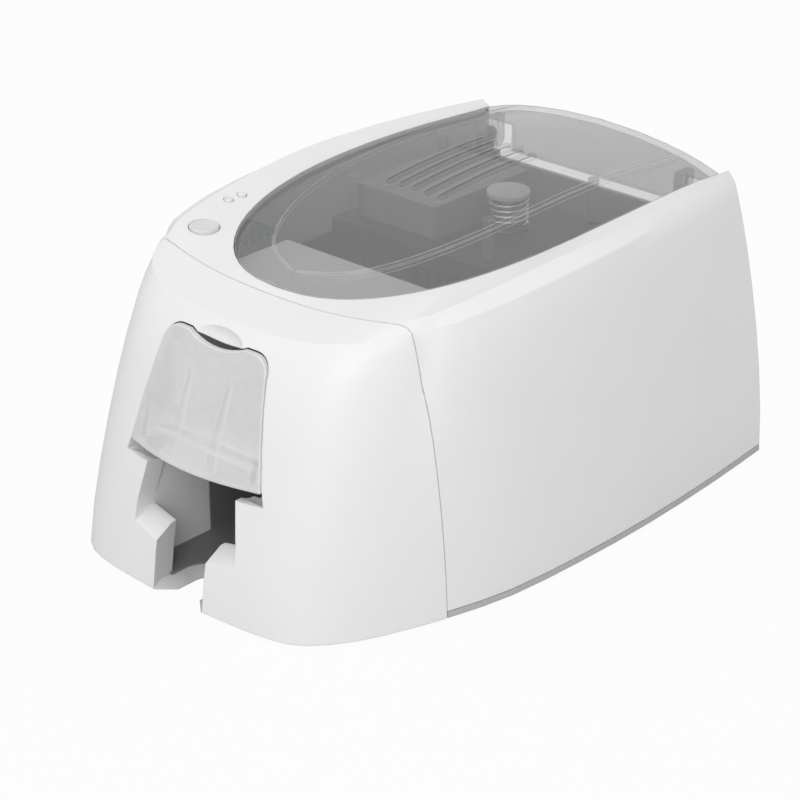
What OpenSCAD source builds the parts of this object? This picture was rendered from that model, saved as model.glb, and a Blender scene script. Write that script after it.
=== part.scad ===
// Desktop card printer with a smoke lid, a hopper flap and a lower output bay.
// Right is +X, the back is +Y, up is +Z. The origin is under the middle of the body, on the table.

/* [Body] */
// Width of the body at its widest place
body_w = 204.8; // [200:0.2:210]
// Length of the body from the front face to the back panel
body_l = 272.6; // [270:0.2:276]
// Height of the body's side crests above its bottom edge
crest_h = 131.8; // [130:0.2:136]
// How far the front of the crest dips below the side crests
front_dip = 4.4; // [3:0.2:6]
// Wall thickness of the outer covers
wall = 2.5; // [2:0.1:3]
// Height of the base tray's visible rim
rim_h = 2.7; // [2.4:0.1:3.4]
// Gap between neighbouring covers
seam = 0.35; // [0.3:0.05:0.5]
// Height of the rubber feet below the body
foot_h = 1.5; // [1:0.1:3]
// Radius of a rubber foot
foot_r = 8; // [6:0.5:10]
// Gap round a foot in its pocket
foot_gap = 0.2; // [0.1:0.05:0.4]
// Place of the parting line between the front cover and the sides
part_y = -72.4; // [-74:0.2:-71]

/* [Front opening] */
// Half width of the finger slot
slot_half = 14.3; // [12:0.1:16]
// Height of the shelves beside the finger slot
shelf_h = 21.5; // [19:0.1:24]
// Half width of the opening above the shelves
bay_half = 28.8; // [27.6:0.1:30]
// Height where the flap's recess starts
recess_h = 51.4; // [50:0.1:53]
// Half width of the flap's recess at its foot
recess_half = 39.4; // [38.8:0.1:40.4]
// Depth of the front wall round the opening
jamb_t = 10; // [8:0.5:12]
// Rise of the bevel on the shelves
bevel_h = 5.5; // [4:0.5:7]

/* [Flap] */
// Half width of the flap at its lower edge
flap_half = 37.2; // [36.4:0.1:38]
// Half width of the flap below its round corners
flap_top_half = 29.2; // [28.6:0.1:30]
// Height of the flap's lower edge
flap_low = 57.4; // [56.8:0.1:58]
// Distance of the flap's upper edge below the side crests
flap_drop = 23.8; // [23:0.1:25.6]
// Radius of the flap's upper corners
flap_corner = 8; // [6:0.5:10]
// Thickness of the flap
flap_t = 2.2; // [1.8:0.1:2.6]
// Gap round the flap
flap_gap = 0.4; // [0.3:0.05:0.6]
// Radius of the finger dip in the flap's upper edge
scoop_r = 40; // [36:1:44]
// Depth of the finger dip
scoop_d = 3.2; // [2.4:0.2:4.4]
// Radius of the flap's hinge pins
flap_pin_r = 1.6; // [1.4:0.1:2]
// Distance of the flap's hinge behind the front
flap_hinge_in = 20.3; // [19.3:0.5:21.3]
// Height of the flap's hinge
flap_hinge_z = 62; // [61:0.5:63]

/* [Lid] */
// Half width of the lid at its widest place
lid_half = 69.8; // [69:0.1:70.4]
// Place of the lid's front tip
lid_front = -74.2; // [-75:0.1:-73.6]
// Half width of the lid's middle panel between the creases
crease_half = 47.8; // [46:0.1:50]
// Rise of the lid's middle above its creases
crown_h = 4.5; // [3:0.1:5.5]
// Rise of the creases above the side crests at their highest place
crease_rise = 6; // [4.4:0.1:7]
// Step down outside the creases
crease_step = 0.9; // [0.5:0.1:1.1]
// Thickness of the lid
lid_t = 2.2; // [1.8:0.1:2.6]
// Depth of the lid's skirt below the deck
skirt = 5; // [4:0.5:6]
// Gap between the lid and the housing
lid_gap = 0.5; // [0.35:0.05:0.8]
// Length of a vent slot in the lid
vent_l = 64; // [56:1:68]
// Width of a vent slot
vent_w = 2.6; // [2:0.1:3]
// Spacing of the vent slots
vent_pitch = 7.3; // [6.5:0.1:8]
// Radius of the lid's hinge pins
hinge_r = 2.5; // [2:0.1:3]
// Distance of the lid's hinge in front of the body's back
hinge_in = 10.3; // [10.1:0.1:10.7]
// Distance of the lid's hinge below the side crests
hinge_drop = 14.8; // [14.4:0.1:15.2]

/* [Card path] */
// Height of the card plane
card_z = 61; // [60.5:0.1:61.5]
// Width of a card across the path
card_w = 54; // [53.9:0.1:54.1]
// Radius of the driven rollers
roller_r = 6; // [5.5:0.1:6.4]
// Length of the rubber on a driven roller
roller_l = 56; // [54:0.5:58]
// Radius of the roller shafts
shaft_r = 3; // [2.5:0.1:3.2]
// Running clearance round every shaft and pin
run = 0.05; // [0.03:0.01:0.08]
// Place of the pick roller under the hopper
pick_y = -60; // [-61:0.5:-59]
// Place of the feed roller behind the hopper
feed_y = -10; // [-10.5:0.5:-9.5]
// Place of the platen roller under the print head
platen_y = 49; // [48:0.5:50]
// Distance of the exit roller in front of the body's back
exit_in = 27.3; // [26.8:0.5:27.8]
// Radius of the idle pinch rollers
pinch_r = 5; // [4.5:0.1:5.5]
// Gap between a pair of rollers
nip = 0.4; // [0.3:0.05:0.6]

/* [Frame] */
// Distance of the side frames' inner faces inside the lid's edge
frame_in = 7.8; // [6.8:0.5:9.3]
// Thickness of the steel side frames
frame_t = 1.5; // [1.2:0.1:2]
// Height of the side frames' upper edge
frame_top = 98; // [96:0.5:100]
// Radius of the tie bars
tie_r = 2.5; // [2:0.1:3]
// Height of the circuit board above the body's bottom edge
board_z = 9; // [8.4:0.1:11]
// Thickness of the circuit boards
board_t = 1.6; // [1.2:0.1:2]

/* [Drive] */
// Radius of the belt pulleys
pulley_r = 7; // [6.5:0.1:7.5]
// Width of a pulley and its belt
belt_w = 5; // [4:0.5:6]
// Thickness of the belts
belt_t = 1.2; // [1:0.1:1.4]
// Gap between a belt and its pulleys
belt_gap = 0.3; // [0.25:0.05:0.4]
// Radius of the motor
motor_r = 14; // [12:0.5:15]
// Length of the motor
motor_l = 30; // [26:1:32]
// Place of the motor along the body
motor_y = 8; // [7:0.5:9]
// Height of the motor's axis
motor_z = 27; // [26.5:0.5:28]

/* [Ribbon and head] */
// Radius of the full ribbon spool
supply_r = 15; // [12:0.5:16]
// Radius of the take-up spool
takeup_r = 9; // [8:0.5:10]
// Distance of the supply spool in front of the body's back
supply_in = 45.3; // [44.3:0.5:46.3]
// Place of the take-up spool
takeup_y = 0; // [-2:0.5:2]
// Height of the spools' axes
spool_z = 83; // [82:0.5:84]
// Length of a spool's roll
spool_l = 58; // [56:0.5:60]
// Thickness of the ribbon, thickened so that it can be built
film_t = 0.5; // [0.4:0.1:0.6]
// Distance of the head carrier's lower face below the side crests
carrier_drop = 27.8; // [27:0.2:28.8]
// Thickness of the head carrier's plate
carrier_t = 10; // [8:0.5:12]
// Travel of the floating print head
head_travel = 1.2; // [0.8:0.1:1.3]
// Outer radius of the head spring
spring_r = 9; // [8:0.5:9.5]
// Wire radius of the head spring
wire_r = 0.9; // [0.7:0.05:1]
// Turns of the head spring
turns = 4.5; // [3.5:0.5:5]
// Length of the head spring
spring_l = 13; // [11:0.5:14]

/* [Controls] */
// Radius of the button
button_r = 6.5; // [6:0.1:7]
// Travel of the button
button_travel = 1.2; // [0.8:0.1:1.5]
// Gap round the button
button_gap = 0.35; // [0.3:0.05:0.5]
// Radius of a status light
light_r = 2; // [1.6:0.1:2.4]
// Width of the rocker switch
rocker_w = 12; // [10:0.5:14]
// Height of the rocker switch
rocker_h = 19; // [17:0.5:21]

/* [Hidden] */
$fn = 48;
sx = body_w / 204.8;
sy = body_l / 272.6;
far = 400;
eps = 0.01;
back_y = body_l / 2;
front_y = -back_y;
side_x = body_w / 2;
flap_hinge_y = front_y + flap_hinge_in;
flap_high = crest_h - flap_drop;
crease_h = crest_h + crease_rise;
hinge_y = back_y - hinge_in;
hinge_z = crest_h - hinge_drop;
exit_y = back_y - exit_in;
supply_y = back_y - supply_in;
lid_back = back_y - 0.8;
carrier_z = crest_h - carrier_drop;
frame_half = lid_half - frame_in;
lid_ear_x = lid_half - 17.2;
lid_ear_t = 4.2;
bracket_x = lid_ear_x + lid_ear_t + 0.6;
panel_ear_x = bracket_x - 0.1;

// Plan outlines of the right half, from the front's middle to the back: the body's foot, its crest
// and the lid's edge. Stations with the same place in each list lie on one rib.
foot_line = [[0, -136.2], [28, -135], [50, -132.3], [64, -126], [76, -110.5], [85, -90], [91.6, -70],
    [98.5, -41], [101.6, 0], [102.4, 46], [100.4, 95], [97, 136.3]];
crest_line = [[0, -79], [21, -78.7], [40, -77.6], [56, -74.8], [66.5, -70.6], [72, -62], [75.4, -49],
    [79, -24], [82, 14], [81.8, 46], [77.4, 95], [71.4, 136.3]];
rim_line = [[0, -74.8], [18, -73], [33, -65.2], [45.4, -55], [53.6, -43], [61.4, -25.6], [65, -14],
    [67.6, 0], [70, 30], [70.4, 56], [69, 95], [66.8, 136.3]];
stations = len(foot_line);
cuts = 2;
ribs = (stations - 1) * cuts;

// Steps up a rib, as shares of its height
steps = [0, 0.15, 0.31, 0.47, 0.62, 0.75, 0.85, 0.92, 0.965, 1];

function lerp(a, b, t) = a + (b - a) * t;
function clamp(v, low, high) = min(max(v, low), high);
function pick(list, i) = list[clamp(i, 0, len(list) - 1)];
// Smooth curve through the stations
function curve(list, s) =
    let (i = min(floor(s), len(list) - 2), t = s - i,
        a = i == 0 ? [-list[1][0], list[1][1]] : list[i - 1],
        b = list[i], c = list[i + 1], d = pick(list, i + 2))
    0.5 * (2 * b + (c - a) * t + (2 * a - 5 * b + 4 * c - d) * t * t
        + (3 * b - a - 3 * c + d) * t * t * t);
function scaled(p) = [p[0] * sx, p[1] * sy];
// Point of a plan line moved inwards by a thickness
function inset(list, s, t) =
    let (p = scaled(curve(list, s)), q = curve(list, min(s + 0.05, stations - 1)),
        o = curve(list, max(s - 0.05, 0)), d = [q[0] - o[0], q[1] - o[1]],
        n = s == 0 ? [0, 1] : s == stations - 1 ? [-1, 0] : [-d[1], d[0]] / norm(d))
    [max(p[0] + n[0] * t, 0), min(p[1] + n[1] * t, back_y - t)];

// Heights of the crest and of the deck inside it
crest_mid = 45;
crest_fall = 0.00061;
crest_fall_back = 0.00033;
dip_half = 70;
function crest_z(p) =
    let (d = p[1] - crest_mid, k = d < 0 ? crest_fall : crest_fall_back,
        dip = p[1] < -50 ? front_dip * max(0, 1 - pow(abs(p[0]) / dip_half, 2)) : 0)
    crest_h - k * d * d - dip;
deck_fall = 0.00052;
deck_mid = 63;
deck_drop = 2.4;
function deck_z(y) = crest_h - deck_drop - deck_fall * pow(y - deck_mid, 2);

// How far a rib leans in at a share h of its height: the front stands up straight, the corners and
// the back lean in more
leans = [0.478, 0.478, 0.52, 0.64, 0.8, 0.86, 0.59, 0.52, 0.56, 0.66, 0.77, 0.873];
power_front = 1.29;
power_back = 1.73;
function rib_lean(s, y, h) =
    let (i = min(floor(s), stations - 2), a = lerp(leans[i], leans[i + 1], s - i),
        e = lerp(power_back, power_front, clamp((back_y - y) / body_l, 0, 1)))
    a * pow(h, e) + (1 - a) * (1 - pow(1 - pow(h, 8), 0.25));

// One point of the outer form: rib position s, step j, cover thickness t
function form_pt(s, j, t) =
    let (a = inset(foot_line, s, t), b = inset(crest_line, s, t), top = crest_z(b) - t,
        h = steps[j], lean = rib_lean(s, a[1], h),
        low = t > 0 ? -1 : 0)
    [lerp(a[0], b[0], lean), lerp(a[1], b[1], lean), lerp(low, top, h)];
function rim_pt(s, t) =
    let (p = scaled(curve(rim_line, s)))
    [p[0], p[1], deck_z(p[1]) - t];
// A ring runs from the back right corner round the front to the back left corner
function ring(half) = concat([for (i = [ribs:-1:0]) half[i]],
    [for (i = [1:ribs]) [-half[i][0], half[i][1], half[i][2]]]);
function form_rings(t) = concat(
    [for (j = [0:len(steps) - 1]) ring([for (i = [0:ribs]) form_pt(i / cuts, j, t)])],
    [ring([for (i = [0:ribs]) rim_pt(i / cuts, t)])]);
// Closed skin over rings that all start and end on the back plane
function skin_faces(n, m) = concat(
    [for (j = [0:m - 2], i = [0:n - 2]) each [
        [j * n + i + 1, (j + 1) * n + i, j * n + i],
        [(j + 1) * n + i + 1, (j + 1) * n + i, j * n + i + 1]]],
    [for (j = [0:m - 2]) each [
        [j * n, (j + 1) * n + n - 1, j * n + n - 1],
        [(j + 1) * n, (j + 1) * n + n - 1, j * n]]],
    [for (i = [0:floor(n / 2) - 1]) each [
        [n - 1 - i, i + 1, i],
        [n - 1 - i, n - 2 - i, i + 1]]],
    [for (i = [0:floor(n / 2) - 1]) each [
        [(m - 1) * n + i + 1, (m - 1) * n + n - 1 - i, (m - 1) * n + i],
        [(m - 1) * n + n - 2 - i, (m - 1) * n + n - 1 - i, (m - 1) * n + i + 1]]]);

// The body's outer form, or the hollow inside a cover of thickness t
module body_form(t) {
    rings = form_rings(t);
    polyhedron(points = [for (r = rings) each r], faces = skin_faces(len(rings[0]), len(rings)),
        convexity = 6);
}

module at_base() {
    translate([0, 0, foot_h]) children();
}

// A bar between two corners
module block(low, high) {
    translate(low) cube(high - low);
}

module rod_x(r, x0, x1, y, z) {
    translate([x0, y, z]) rotate([0, 90, 0]) cylinder(r = r, h = x1 - x0);
}

// A flat shape drawn in X and Z, from y0 back to y1
module front_prism(y0, y1) {
    translate([0, y1, 0]) rotate([90, 0, 0]) linear_extrude(y1 - y0) children();
}

// Plan of the front cover: its back edge bows forwards in the middle
part_bow = 6.6;
part_half = 69;
module front_plan(gap) {
    bow = [for (i = [-12:12]) let (x = i / 12 * part_half)
        [x, part_y - gap - part_bow * (1 - pow(abs(i) / 12, 3))]];
    polygon(concat([[far, part_y - gap], [far, -far], [-far, -far], [-far, part_y - gap]], bow));
}

// A flat shape drawn in Y and Z, from x0 to x1
module side_prism(x0, x1) {
    translate([x0, 0, 0]) rotate([90, 0, 90]) linear_extrude(x1 - x0) children();
}

module both_sides() {
    children();
    mirror([1, 0, 0]) children();
}

module mirrored_shape(half) {
    polygon(concat(half, [for (i = [len(half) - 1:-1:0]) [-half[i][0], half[i][1]]]));
}

// Smallest gap between parts that do not touch
fit_gap = 0.3;

// Base tray: the rim that shows under the sides, with posts for the hopper and the circuit board
post_r = 4;
post_x = 40;
post_ys = [-48, -22];
hopper_floor_t = 2.2;
hopper_floor_z = card_z - 0.5;
hopper_low = hopper_floor_z - hopper_floor_t;
foot_pocket = 0.8;
foot_x = side_x - 22.4;
foot_front_y = -58;
foot_back_y = back_y - 20.3;
foot_places = [[-foot_x, foot_front_y], [foot_x, foot_front_y], [-foot_x, foot_back_y],
    [foot_x, foot_back_y]];
screw_x = frame_half + 8;
screw_front_y = -40;
screw_back_y = 60;
screw_places = [[-screw_x, screw_front_y], [screw_x, screw_front_y], [-screw_x, screw_back_y],
    [screw_x, screw_back_y]];
screw_r = 1.5;
screw_head_r = 3;
screw_head_h = 2;
board_low = [-22, -8];
board_high = [58, back_y - 28.3];
standoff_in = 4;
standoff_r = 3.5;
standoff_places = [for (x = [board_low[0] + standoff_in, board_high[0] - standoff_in],
    y = [board_low[1] + standoff_in, board_high[1] - standoff_in]) [x, y]];
module base_tray() color([0.72, 0.72, 0.73]) at_base() {
    difference() {
        union() {
            intersection() {
                body_form(0);
                block([-far, part_y + seam, -1], [far, far, rim_h]);
            }
            both_sides() for (y = post_ys) translate([post_x, y, rim_h - eps])
                cylinder(r = post_r, h = hopper_low - rim_h + eps);
            for (p = standoff_places) translate([p[0], p[1], rim_h - eps])
                cylinder(r = standoff_r, h = board_z - rim_h + eps);
        }
        for (p = foot_places) translate([p[0], p[1], -1])
            cylinder(r = foot_r + foot_gap, h = 1 + foot_pocket);
        for (p = screw_places) translate([p[0], p[1], -1])
            cylinder(r = screw_r, h = rim_h + 2);
    }
}

module rubber_feet() color([0.12, 0.12, 0.12]) for (p = foot_places) translate([p[0], p[1], 0])
    cylinder(r = foot_r, h = foot_h + foot_pocket);

// Screws that hold the side frames' feet to the tray
module case_screws() color([0.6, 0.6, 0.62]) at_base() for (p = screw_places)
    translate([p[0], p[1], 0]) union() {
        translate([0, 0, fit_gap]) cylinder(r = screw_r, h = rim_h + frame_t - fit_gap + eps);
        translate([0, 0, rim_h + frame_t]) cylinder(r = screw_head_r, h = screw_head_h);
    }

// Front cover: the curved front with the T-shaped opening and thick jambs behind it
jamb_half = 44;
jamb_high = 68;
jamb_back_y = front_y + 47.3;
bay_wall = 2.5;
bay_top = 57;
sill_h = 3;
sill_y = front_y + 30.8;
shelf_tilt = 10;
shelf_back = shelf_h + bevel_h;
dish_y = front_y + 23.8;
dish_z = crest_h - 22.3;
dish_r = 16.4;
dish_flat = 0.45;
dish_deep = 9;
dish_t = 2;
swing_r = 12.4;
ear_x = 33.6;
ear_t = 3.4;
ear_r = 3.2;
module dish(grow) {
    translate([0, dish_y, dish_z])
        resize([2 * (dish_r + grow), 2 * (dish_deep + grow), 2 * (dish_r * dish_flat + grow)])
            sphere(r = dish_r, $fn = 32);
}
module slot_opening() {
    block([-slot_half, -far, sill_h], [slot_half, part_y, recess_h + eps]);
}
// The shelves rise towards the inside and outwards
bevel_front_y = front_y + 2.3;
module shelf_opening() {
    both_sides() intersection() {
        translate([slot_half, 0, 0]) rotate([0, -shelf_tilt, 0]) side_prism(-8, 20)
            polygon([[-far, shelf_h - 1], [bevel_front_y, shelf_h - 1], [bevel_front_y + 10, shelf_back - 1],
                [far, shelf_back - 1], [far, far], [-far, far]]);
        block([0, -far, 0], [bay_half, part_y, recess_h + eps]);
    }
}
module flap_recess() {
    front_prism(-far, part_y) mirrored_shape([[bay_half + 0.6, recess_h],
        [recess_half, recess_h + 0.6], [flap_half + flap_gap, flap_low + 1]]);
}
// Outline of the flap, grown by a gap
module flap_outline(g) {
    difference() {
        mirrored_shape(concat(
            [[flap_half + g, flap_low - g], [flap_top_half + g, flap_high - flap_corner]],
            [for (a = [15:15:90]) [flap_top_half - flap_corner + (flap_corner + g) * cos(a),
                flap_high - flap_corner + (flap_corner + g) * sin(a)]]));
        translate([0, flap_high - scoop_d + scoop_r + g]) circle(r = scoop_r);
    }
}
// A finger notch in the sill that widens upwards and forwards
notch_half = 6.4;
notch_top_half = 13;
notch_y = front_y + 16.9;
notch_mouth_y = front_y + 6.9;
notch_lip_y = front_y + 5.3;
notch_front_y = front_y - 13.7;
module plan_slab(z) {
    translate([0, 0, z]) linear_extrude(eps) children();
}
module finger_notch() {
    hull() {
        plan_slab(-eps) union() {
            translate([0, notch_y]) circle(r = notch_half, $fn = 32);
            translate([-notch_half, notch_mouth_y]) square([2 * notch_half, notch_y - notch_mouth_y]);
        }
        plan_slab(sill_h) union() {
            translate([0, notch_y]) circle(r = notch_top_half, $fn = 32);
            translate([-notch_top_half, notch_mouth_y]) square([2 * notch_top_half, notch_y - notch_mouth_y]);
        }
    }
    hull() {
        plan_slab(-eps) polygon([[-notch_half, notch_mouth_y + eps], [notch_half, notch_mouth_y + eps],
            [slot_half, front_y], [slot_half, notch_front_y], [-slot_half, notch_front_y],
            [-slot_half, front_y]]);
        plan_slab(sill_h) polygon([[-notch_top_half, notch_mouth_y + eps],
            [notch_top_half, notch_mouth_y + eps], [slot_half, notch_lip_y], [slot_half, notch_front_y],
            [-slot_half, notch_front_y], [-slot_half, notch_lip_y]]);
    }
}
module front_cover() color([0.93, 0.93, 0.93]) at_base() {
    difference() {
        intersection() {
            union() {
                difference() {
                    body_form(0);
                    body_form(wall);
                }
                difference() {
                    intersection() {
                        body_form(0);
                        block([-jamb_half, -far, 0], [jamb_half, part_y, jamb_high]);
                    }
                    translate([0, jamb_t - wall, -1]) body_form(wall);
                }
                intersection() {
                    body_form(0);
                    union() {
                        both_sides() block([bay_half, -far, 0],
                            [bay_half + bay_wall, jamb_back_y, bay_top]);
                        block([-bay_half, -far, 0], [bay_half, sill_y, sill_h]);
                    }
                }
                intersection() {
                    body_form(0);
                    dish(dish_t);
                }
            }
            translate([0, 0, -1]) linear_extrude(far) front_plan(0);
        }
        slot_opening();
        shelf_opening();
        flap_recess();
        front_prism(-far, part_y) flap_outline(flap_gap);
        finger_notch();
        dish(0);
        intersection() {
            rod_x(swing_r, -flap_half - flap_gap, flap_half + flap_gap, flap_hinge_y, flap_hinge_z);
            block([-far, -far, 0], [far, far, flap_low]);
        }
        rod_x(flap_pin_r + fit_gap, -ear_x, ear_x, flap_hinge_y, flap_hinge_z);
        both_sides() block([ear_x - fit_gap, flap_hinge_y - ear_r - fit_gap, hopper_low - fit_gap],
            [ear_x + ear_t + fit_gap, part_y, flap_hinge_z + ear_r + fit_gap]);
    }
}

// Housing: both sides and the deck round the lid
deck_cut_z = crest_h - 41.8;
back_cut_half = 66;
light_places = [[-71.2 * sx, -32], [-70.6 * sx, -24.5]];
light_tops = [crest_h - 4.6, crest_h - 3.9];
light_gap = 0.3;
button_x = -61.5 * sx;
button_y = -56;
button_top = crest_h - 7.2;
lid_mid = 45;
lid_taper = 3.2;
lid_taper_end = 114;
lid_round_y = 2.45;
lid_round_x = 2.28;
function lid_w(y, g) =
    let (front = lid_front - g, u = clamp((lid_mid - y) / (lid_mid - front), 0, 1),
        v = clamp((y - lid_mid) / (lid_taper_end - lid_mid), 0, 1))
    (lid_half + g) * pow(1 - pow(u, lid_round_y), 1 / lid_round_x) - lid_taper * v * v;
// Stations along the lid, close together at its round front
lid_count = 24;
function lid_y(k, front, back) = lerp(front, back, pow(k / lid_count, 1.7));
module lid_plan(g) {
    mirrored_shape(concat([[0, lid_front - g]],
        [for (k = [1:lid_count]) let (y = lid_y(k, lid_front - g, back_y)) [lid_w(y, g), y]],
        [[lid_w(back_y, g), far]]));
}
module main_housing() color([0.91, 0.91, 0.91]) at_base() {
    difference() {
        body_form(0);
        body_form(wall);
        translate([0, 0, -2]) linear_extrude(far) front_plan(-seam);
        block([-far, -far, -2], [far, far, rim_h + seam]);
        translate([0, 0, deck_cut_z]) linear_extrude(far) lid_plan(lid_gap);
        block([-back_cut_half, back_y - wall - 1, rim_h], [back_cut_half, far, deck_cut_z + 5]);
        for (p = light_places) translate([p[0], p[1], deck_cut_z]) cylinder(r = light_r + light_gap, h = far);
        translate([button_x, button_y, deck_cut_z]) cylinder(r = button_r + button_gap, h = far);
    }
}

// Back panel with its vents, sockets and switch
panel_top = hinge_z - 11.8;
panel_ear_top = hinge_z - 9;
panel_t = 2.5;
panel_y = back_y - wall - fit_gap - panel_t;
inlet_x = 55;
inlet_z = 22;
inlet_w = 11;
inlet_bore_r = 3.2;
inlet_pin_r = 1;
usb_x = 32;
usb_w = 12;
usb_h = 11;
rocker_x = -54;
rocker_z = 34;
bezel_rim = 3;
panel_vents = 9;
panel_vent_w = 3;
panel_vent_h = 26;
panel_vent_z = 62;
panel_vent_pitch = 8;
module rear_panel() color([0.85, 0.85, 0.85]) at_base() {
    difference() {
        intersection() {
            body_form(wall + fit_gap);
            union() {
                block([-far, panel_y, rim_h + fit_gap], [far, panel_y + panel_t, panel_top]);
                both_sides() block([panel_ear_x, panel_y, panel_top - 1],
                    [lid_w(back_y, 0) - lid_t - 2 * fit_gap, panel_y + panel_t, panel_ear_top]);
            }
        }
        translate([inlet_x, 0, inlet_z]) block([-inlet_w / 2 - fit_gap, 0, -inlet_w / 2 - fit_gap],
            [inlet_w / 2 + fit_gap, far, inlet_w / 2 + fit_gap]);
        translate([usb_x, 0, inlet_z]) block([-usb_w / 2 - fit_gap, 0, -usb_h / 2 - fit_gap],
            [usb_w / 2 + fit_gap, far, usb_h / 2 + fit_gap]);
        translate([rocker_x, 0, rocker_z])
            block([-rocker_w / 2 - bezel_rim, 0, -rocker_h / 2 - bezel_rim],
                [rocker_w / 2 + bezel_rim, far, rocker_h / 2 + bezel_rim]);
        for (i = [0:panel_vents - 1]) translate([(i - (panel_vents - 1) / 2) * panel_vent_pitch, 0, 0])
            block([-panel_vent_w / 2, 0, panel_vent_z],
                [panel_vent_w / 2, far, panel_vent_z + panel_vent_h]);
    }
}

socket_back = back_y - 1.6;
socket_l = 14;
module power_inlet() color([0.1, 0.1, 0.1]) at_base() translate([inlet_x, 0, inlet_z]) difference() {
    block([-inlet_w / 2, socket_back - socket_l, -inlet_w / 2], [inlet_w / 2, socket_back, inlet_w / 2]);
    difference() {
        translate([0, socket_back - socket_l + 4, 0]) rotate([-90, 0, 0])
            cylinder(r = inlet_bore_r, h = socket_l);
        translate([0, socket_back - socket_l, 0]) rotate([-90, 0, 0])
            cylinder(r = inlet_pin_r, h = socket_l - 1);
    }
}

usb_tongue_w = 5.6;
usb_tongue_t = 3.2;
usb_mouth_w = 8.4;
usb_mouth_h = 7.8;
socket_deep = 10;
module usb_socket() color([0.7, 0.7, 0.72]) at_base() translate([usb_x, 0, inlet_z]) difference() {
    block([-usb_w / 2, socket_back - socket_l, -usb_h / 2], [usb_w / 2, socket_back, usb_h / 2]);
    difference() {
        block([-usb_mouth_w / 2, socket_back - socket_deep, -usb_mouth_h / 2],
            [usb_mouth_w / 2, far, usb_mouth_h / 2]);
        block([-usb_tongue_w / 2, 0, -usb_tongue_t / 2],
            [usb_tongue_w / 2, socket_back - 1, usb_tongue_t / 2]);
    }
}

rocker_pin_r = 1.2;
rocker_y = back_y - 7.3;
module switch_bezel() color([0.12, 0.12, 0.12]) at_base() difference() {
    translate([rocker_x, 0, rocker_z]) difference() {
        block([-rocker_w / 2 - bezel_rim + 0.2, rocker_y - 4, -rocker_h / 2 - bezel_rim + 0.2],
            [rocker_w / 2 + bezel_rim - 0.2, back_y - 1.2, rocker_h / 2 + bezel_rim - 0.2]);
        block([-rocker_w / 2, 0, -rocker_h / 2], [rocker_w / 2, far, rocker_h / 2]);
    }
    rod_x(rocker_pin_r + run, rocker_x - rocker_w / 2 - 2, rocker_x + rocker_w / 2 + 2, rocker_y, rocker_z);
}

rocker_gap = 0.4;
module power_rocker() color([0.08, 0.08, 0.08]) at_base() {
    half = rocker_h / 2 - 1.2;
    side_prism(rocker_x - rocker_w / 2 + rocker_gap, rocker_x + rocker_w / 2 - rocker_gap)
        translate([rocker_y, rocker_z])
            polygon([[-2.5, -2.5], [-2.5, 2.5], [2.5, half], [6, half], [5.2, half / 3], [5.2, -half / 3],
                [6, -half], [2.5, -half]]);
    rod_x(rocker_pin_r, rocker_x - rocker_w / 2 - 1.8, rocker_x + rocker_w / 2 + 1.8, rocker_y, rocker_z);
}

// Output tray: dark floor and walls of the lower bay behind the front cover's jambs
tray_t = 1.6;
tray_high = 51;
tray_back_y = -37;
tray_front_y = sill_y - 20;
tray_floor_z = sill_h;
tray_floor_t = 0.8;
module output_tray() color([0.25, 0.25, 0.26]) at_base() {
    difference() {
        translate([0, 0, tray_floor_z]) linear_extrude(tray_floor_t) difference() {
            union() {
                translate([-bay_half, tray_front_y]) square([2 * bay_half, tray_back_y - tray_front_y]);
                translate([-slot_half, tray_front_y - 1]) square([2 * slot_half, 2]);
            }
            translate([0, notch_y]) circle(r = notch_top_half);
            translate([-notch_top_half, notch_y - far]) square([2 * notch_top_half, far]);
            both_sides() translate([slot_half, tray_front_y - far]) square([far, far + 2]);
        }
    }
    block([-bay_half, sill_y + 1, rim_h], [bay_half, tray_back_y, tray_floor_z + eps]);
    both_sides() block([bay_half, jamb_back_y + fit_gap, rim_h + fit_gap],
        [bay_half + tray_t, tray_back_y, tray_high]);
    block([-bay_half, tray_back_y - tray_t, tray_floor_z], [bay_half, tray_back_y, tray_high]);
}

// Input hopper: a card well above the bay, with ears that carry the flap's rod
hopper_half = card_w / 2 + 0.4;
hopper_t = 2;
hopper_front_y = front_y + 31.3;
hopper_back_y = -18.4;
hopper_top = crest_h - 33.8;
hopper_flange_x = 45;
cutout_gap = 1;
module input_hopper() color([0.78, 0.78, 0.79]) at_base() {
    difference() {
        union() {
            block([-hopper_flange_x, hopper_front_y, hopper_low],
                [hopper_flange_x, hopper_back_y + hopper_t, hopper_floor_z]);
            both_sides() block([hopper_half, hopper_front_y, hopper_floor_z - eps],
                [hopper_half + hopper_t, hopper_back_y + hopper_t, hopper_top]);
            block([-hopper_half - eps, hopper_back_y, card_z + 1.4],
                [hopper_half + eps, hopper_back_y + hopper_t, hopper_top]);
            both_sides() union() {
                block([ear_x, flap_hinge_y, hopper_low],
                    [ear_x + ear_t, hopper_front_y + eps, flap_hinge_z + 3]);
                rod_x(ear_r, ear_x, ear_x + ear_t, flap_hinge_y, flap_hinge_z);
            }
        }
        block([-roller_l / 2 - cutout_gap, pick_y - roller_r - cutout_gap, 0],
            [roller_l / 2 + cutout_gap, pick_y + roller_r + cutout_gap, hopper_floor_z + 1]);
        block([-far, pick_y - shaft_r - cutout_gap, 0],
            [far, pick_y + shaft_r + cutout_gap, hopper_low + 0.4]);
        rod_x(flap_pin_r + run, -ear_x - ear_t - 1, ear_x + ear_t + 1, flap_hinge_y, flap_hinge_z);
    }
}

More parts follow.
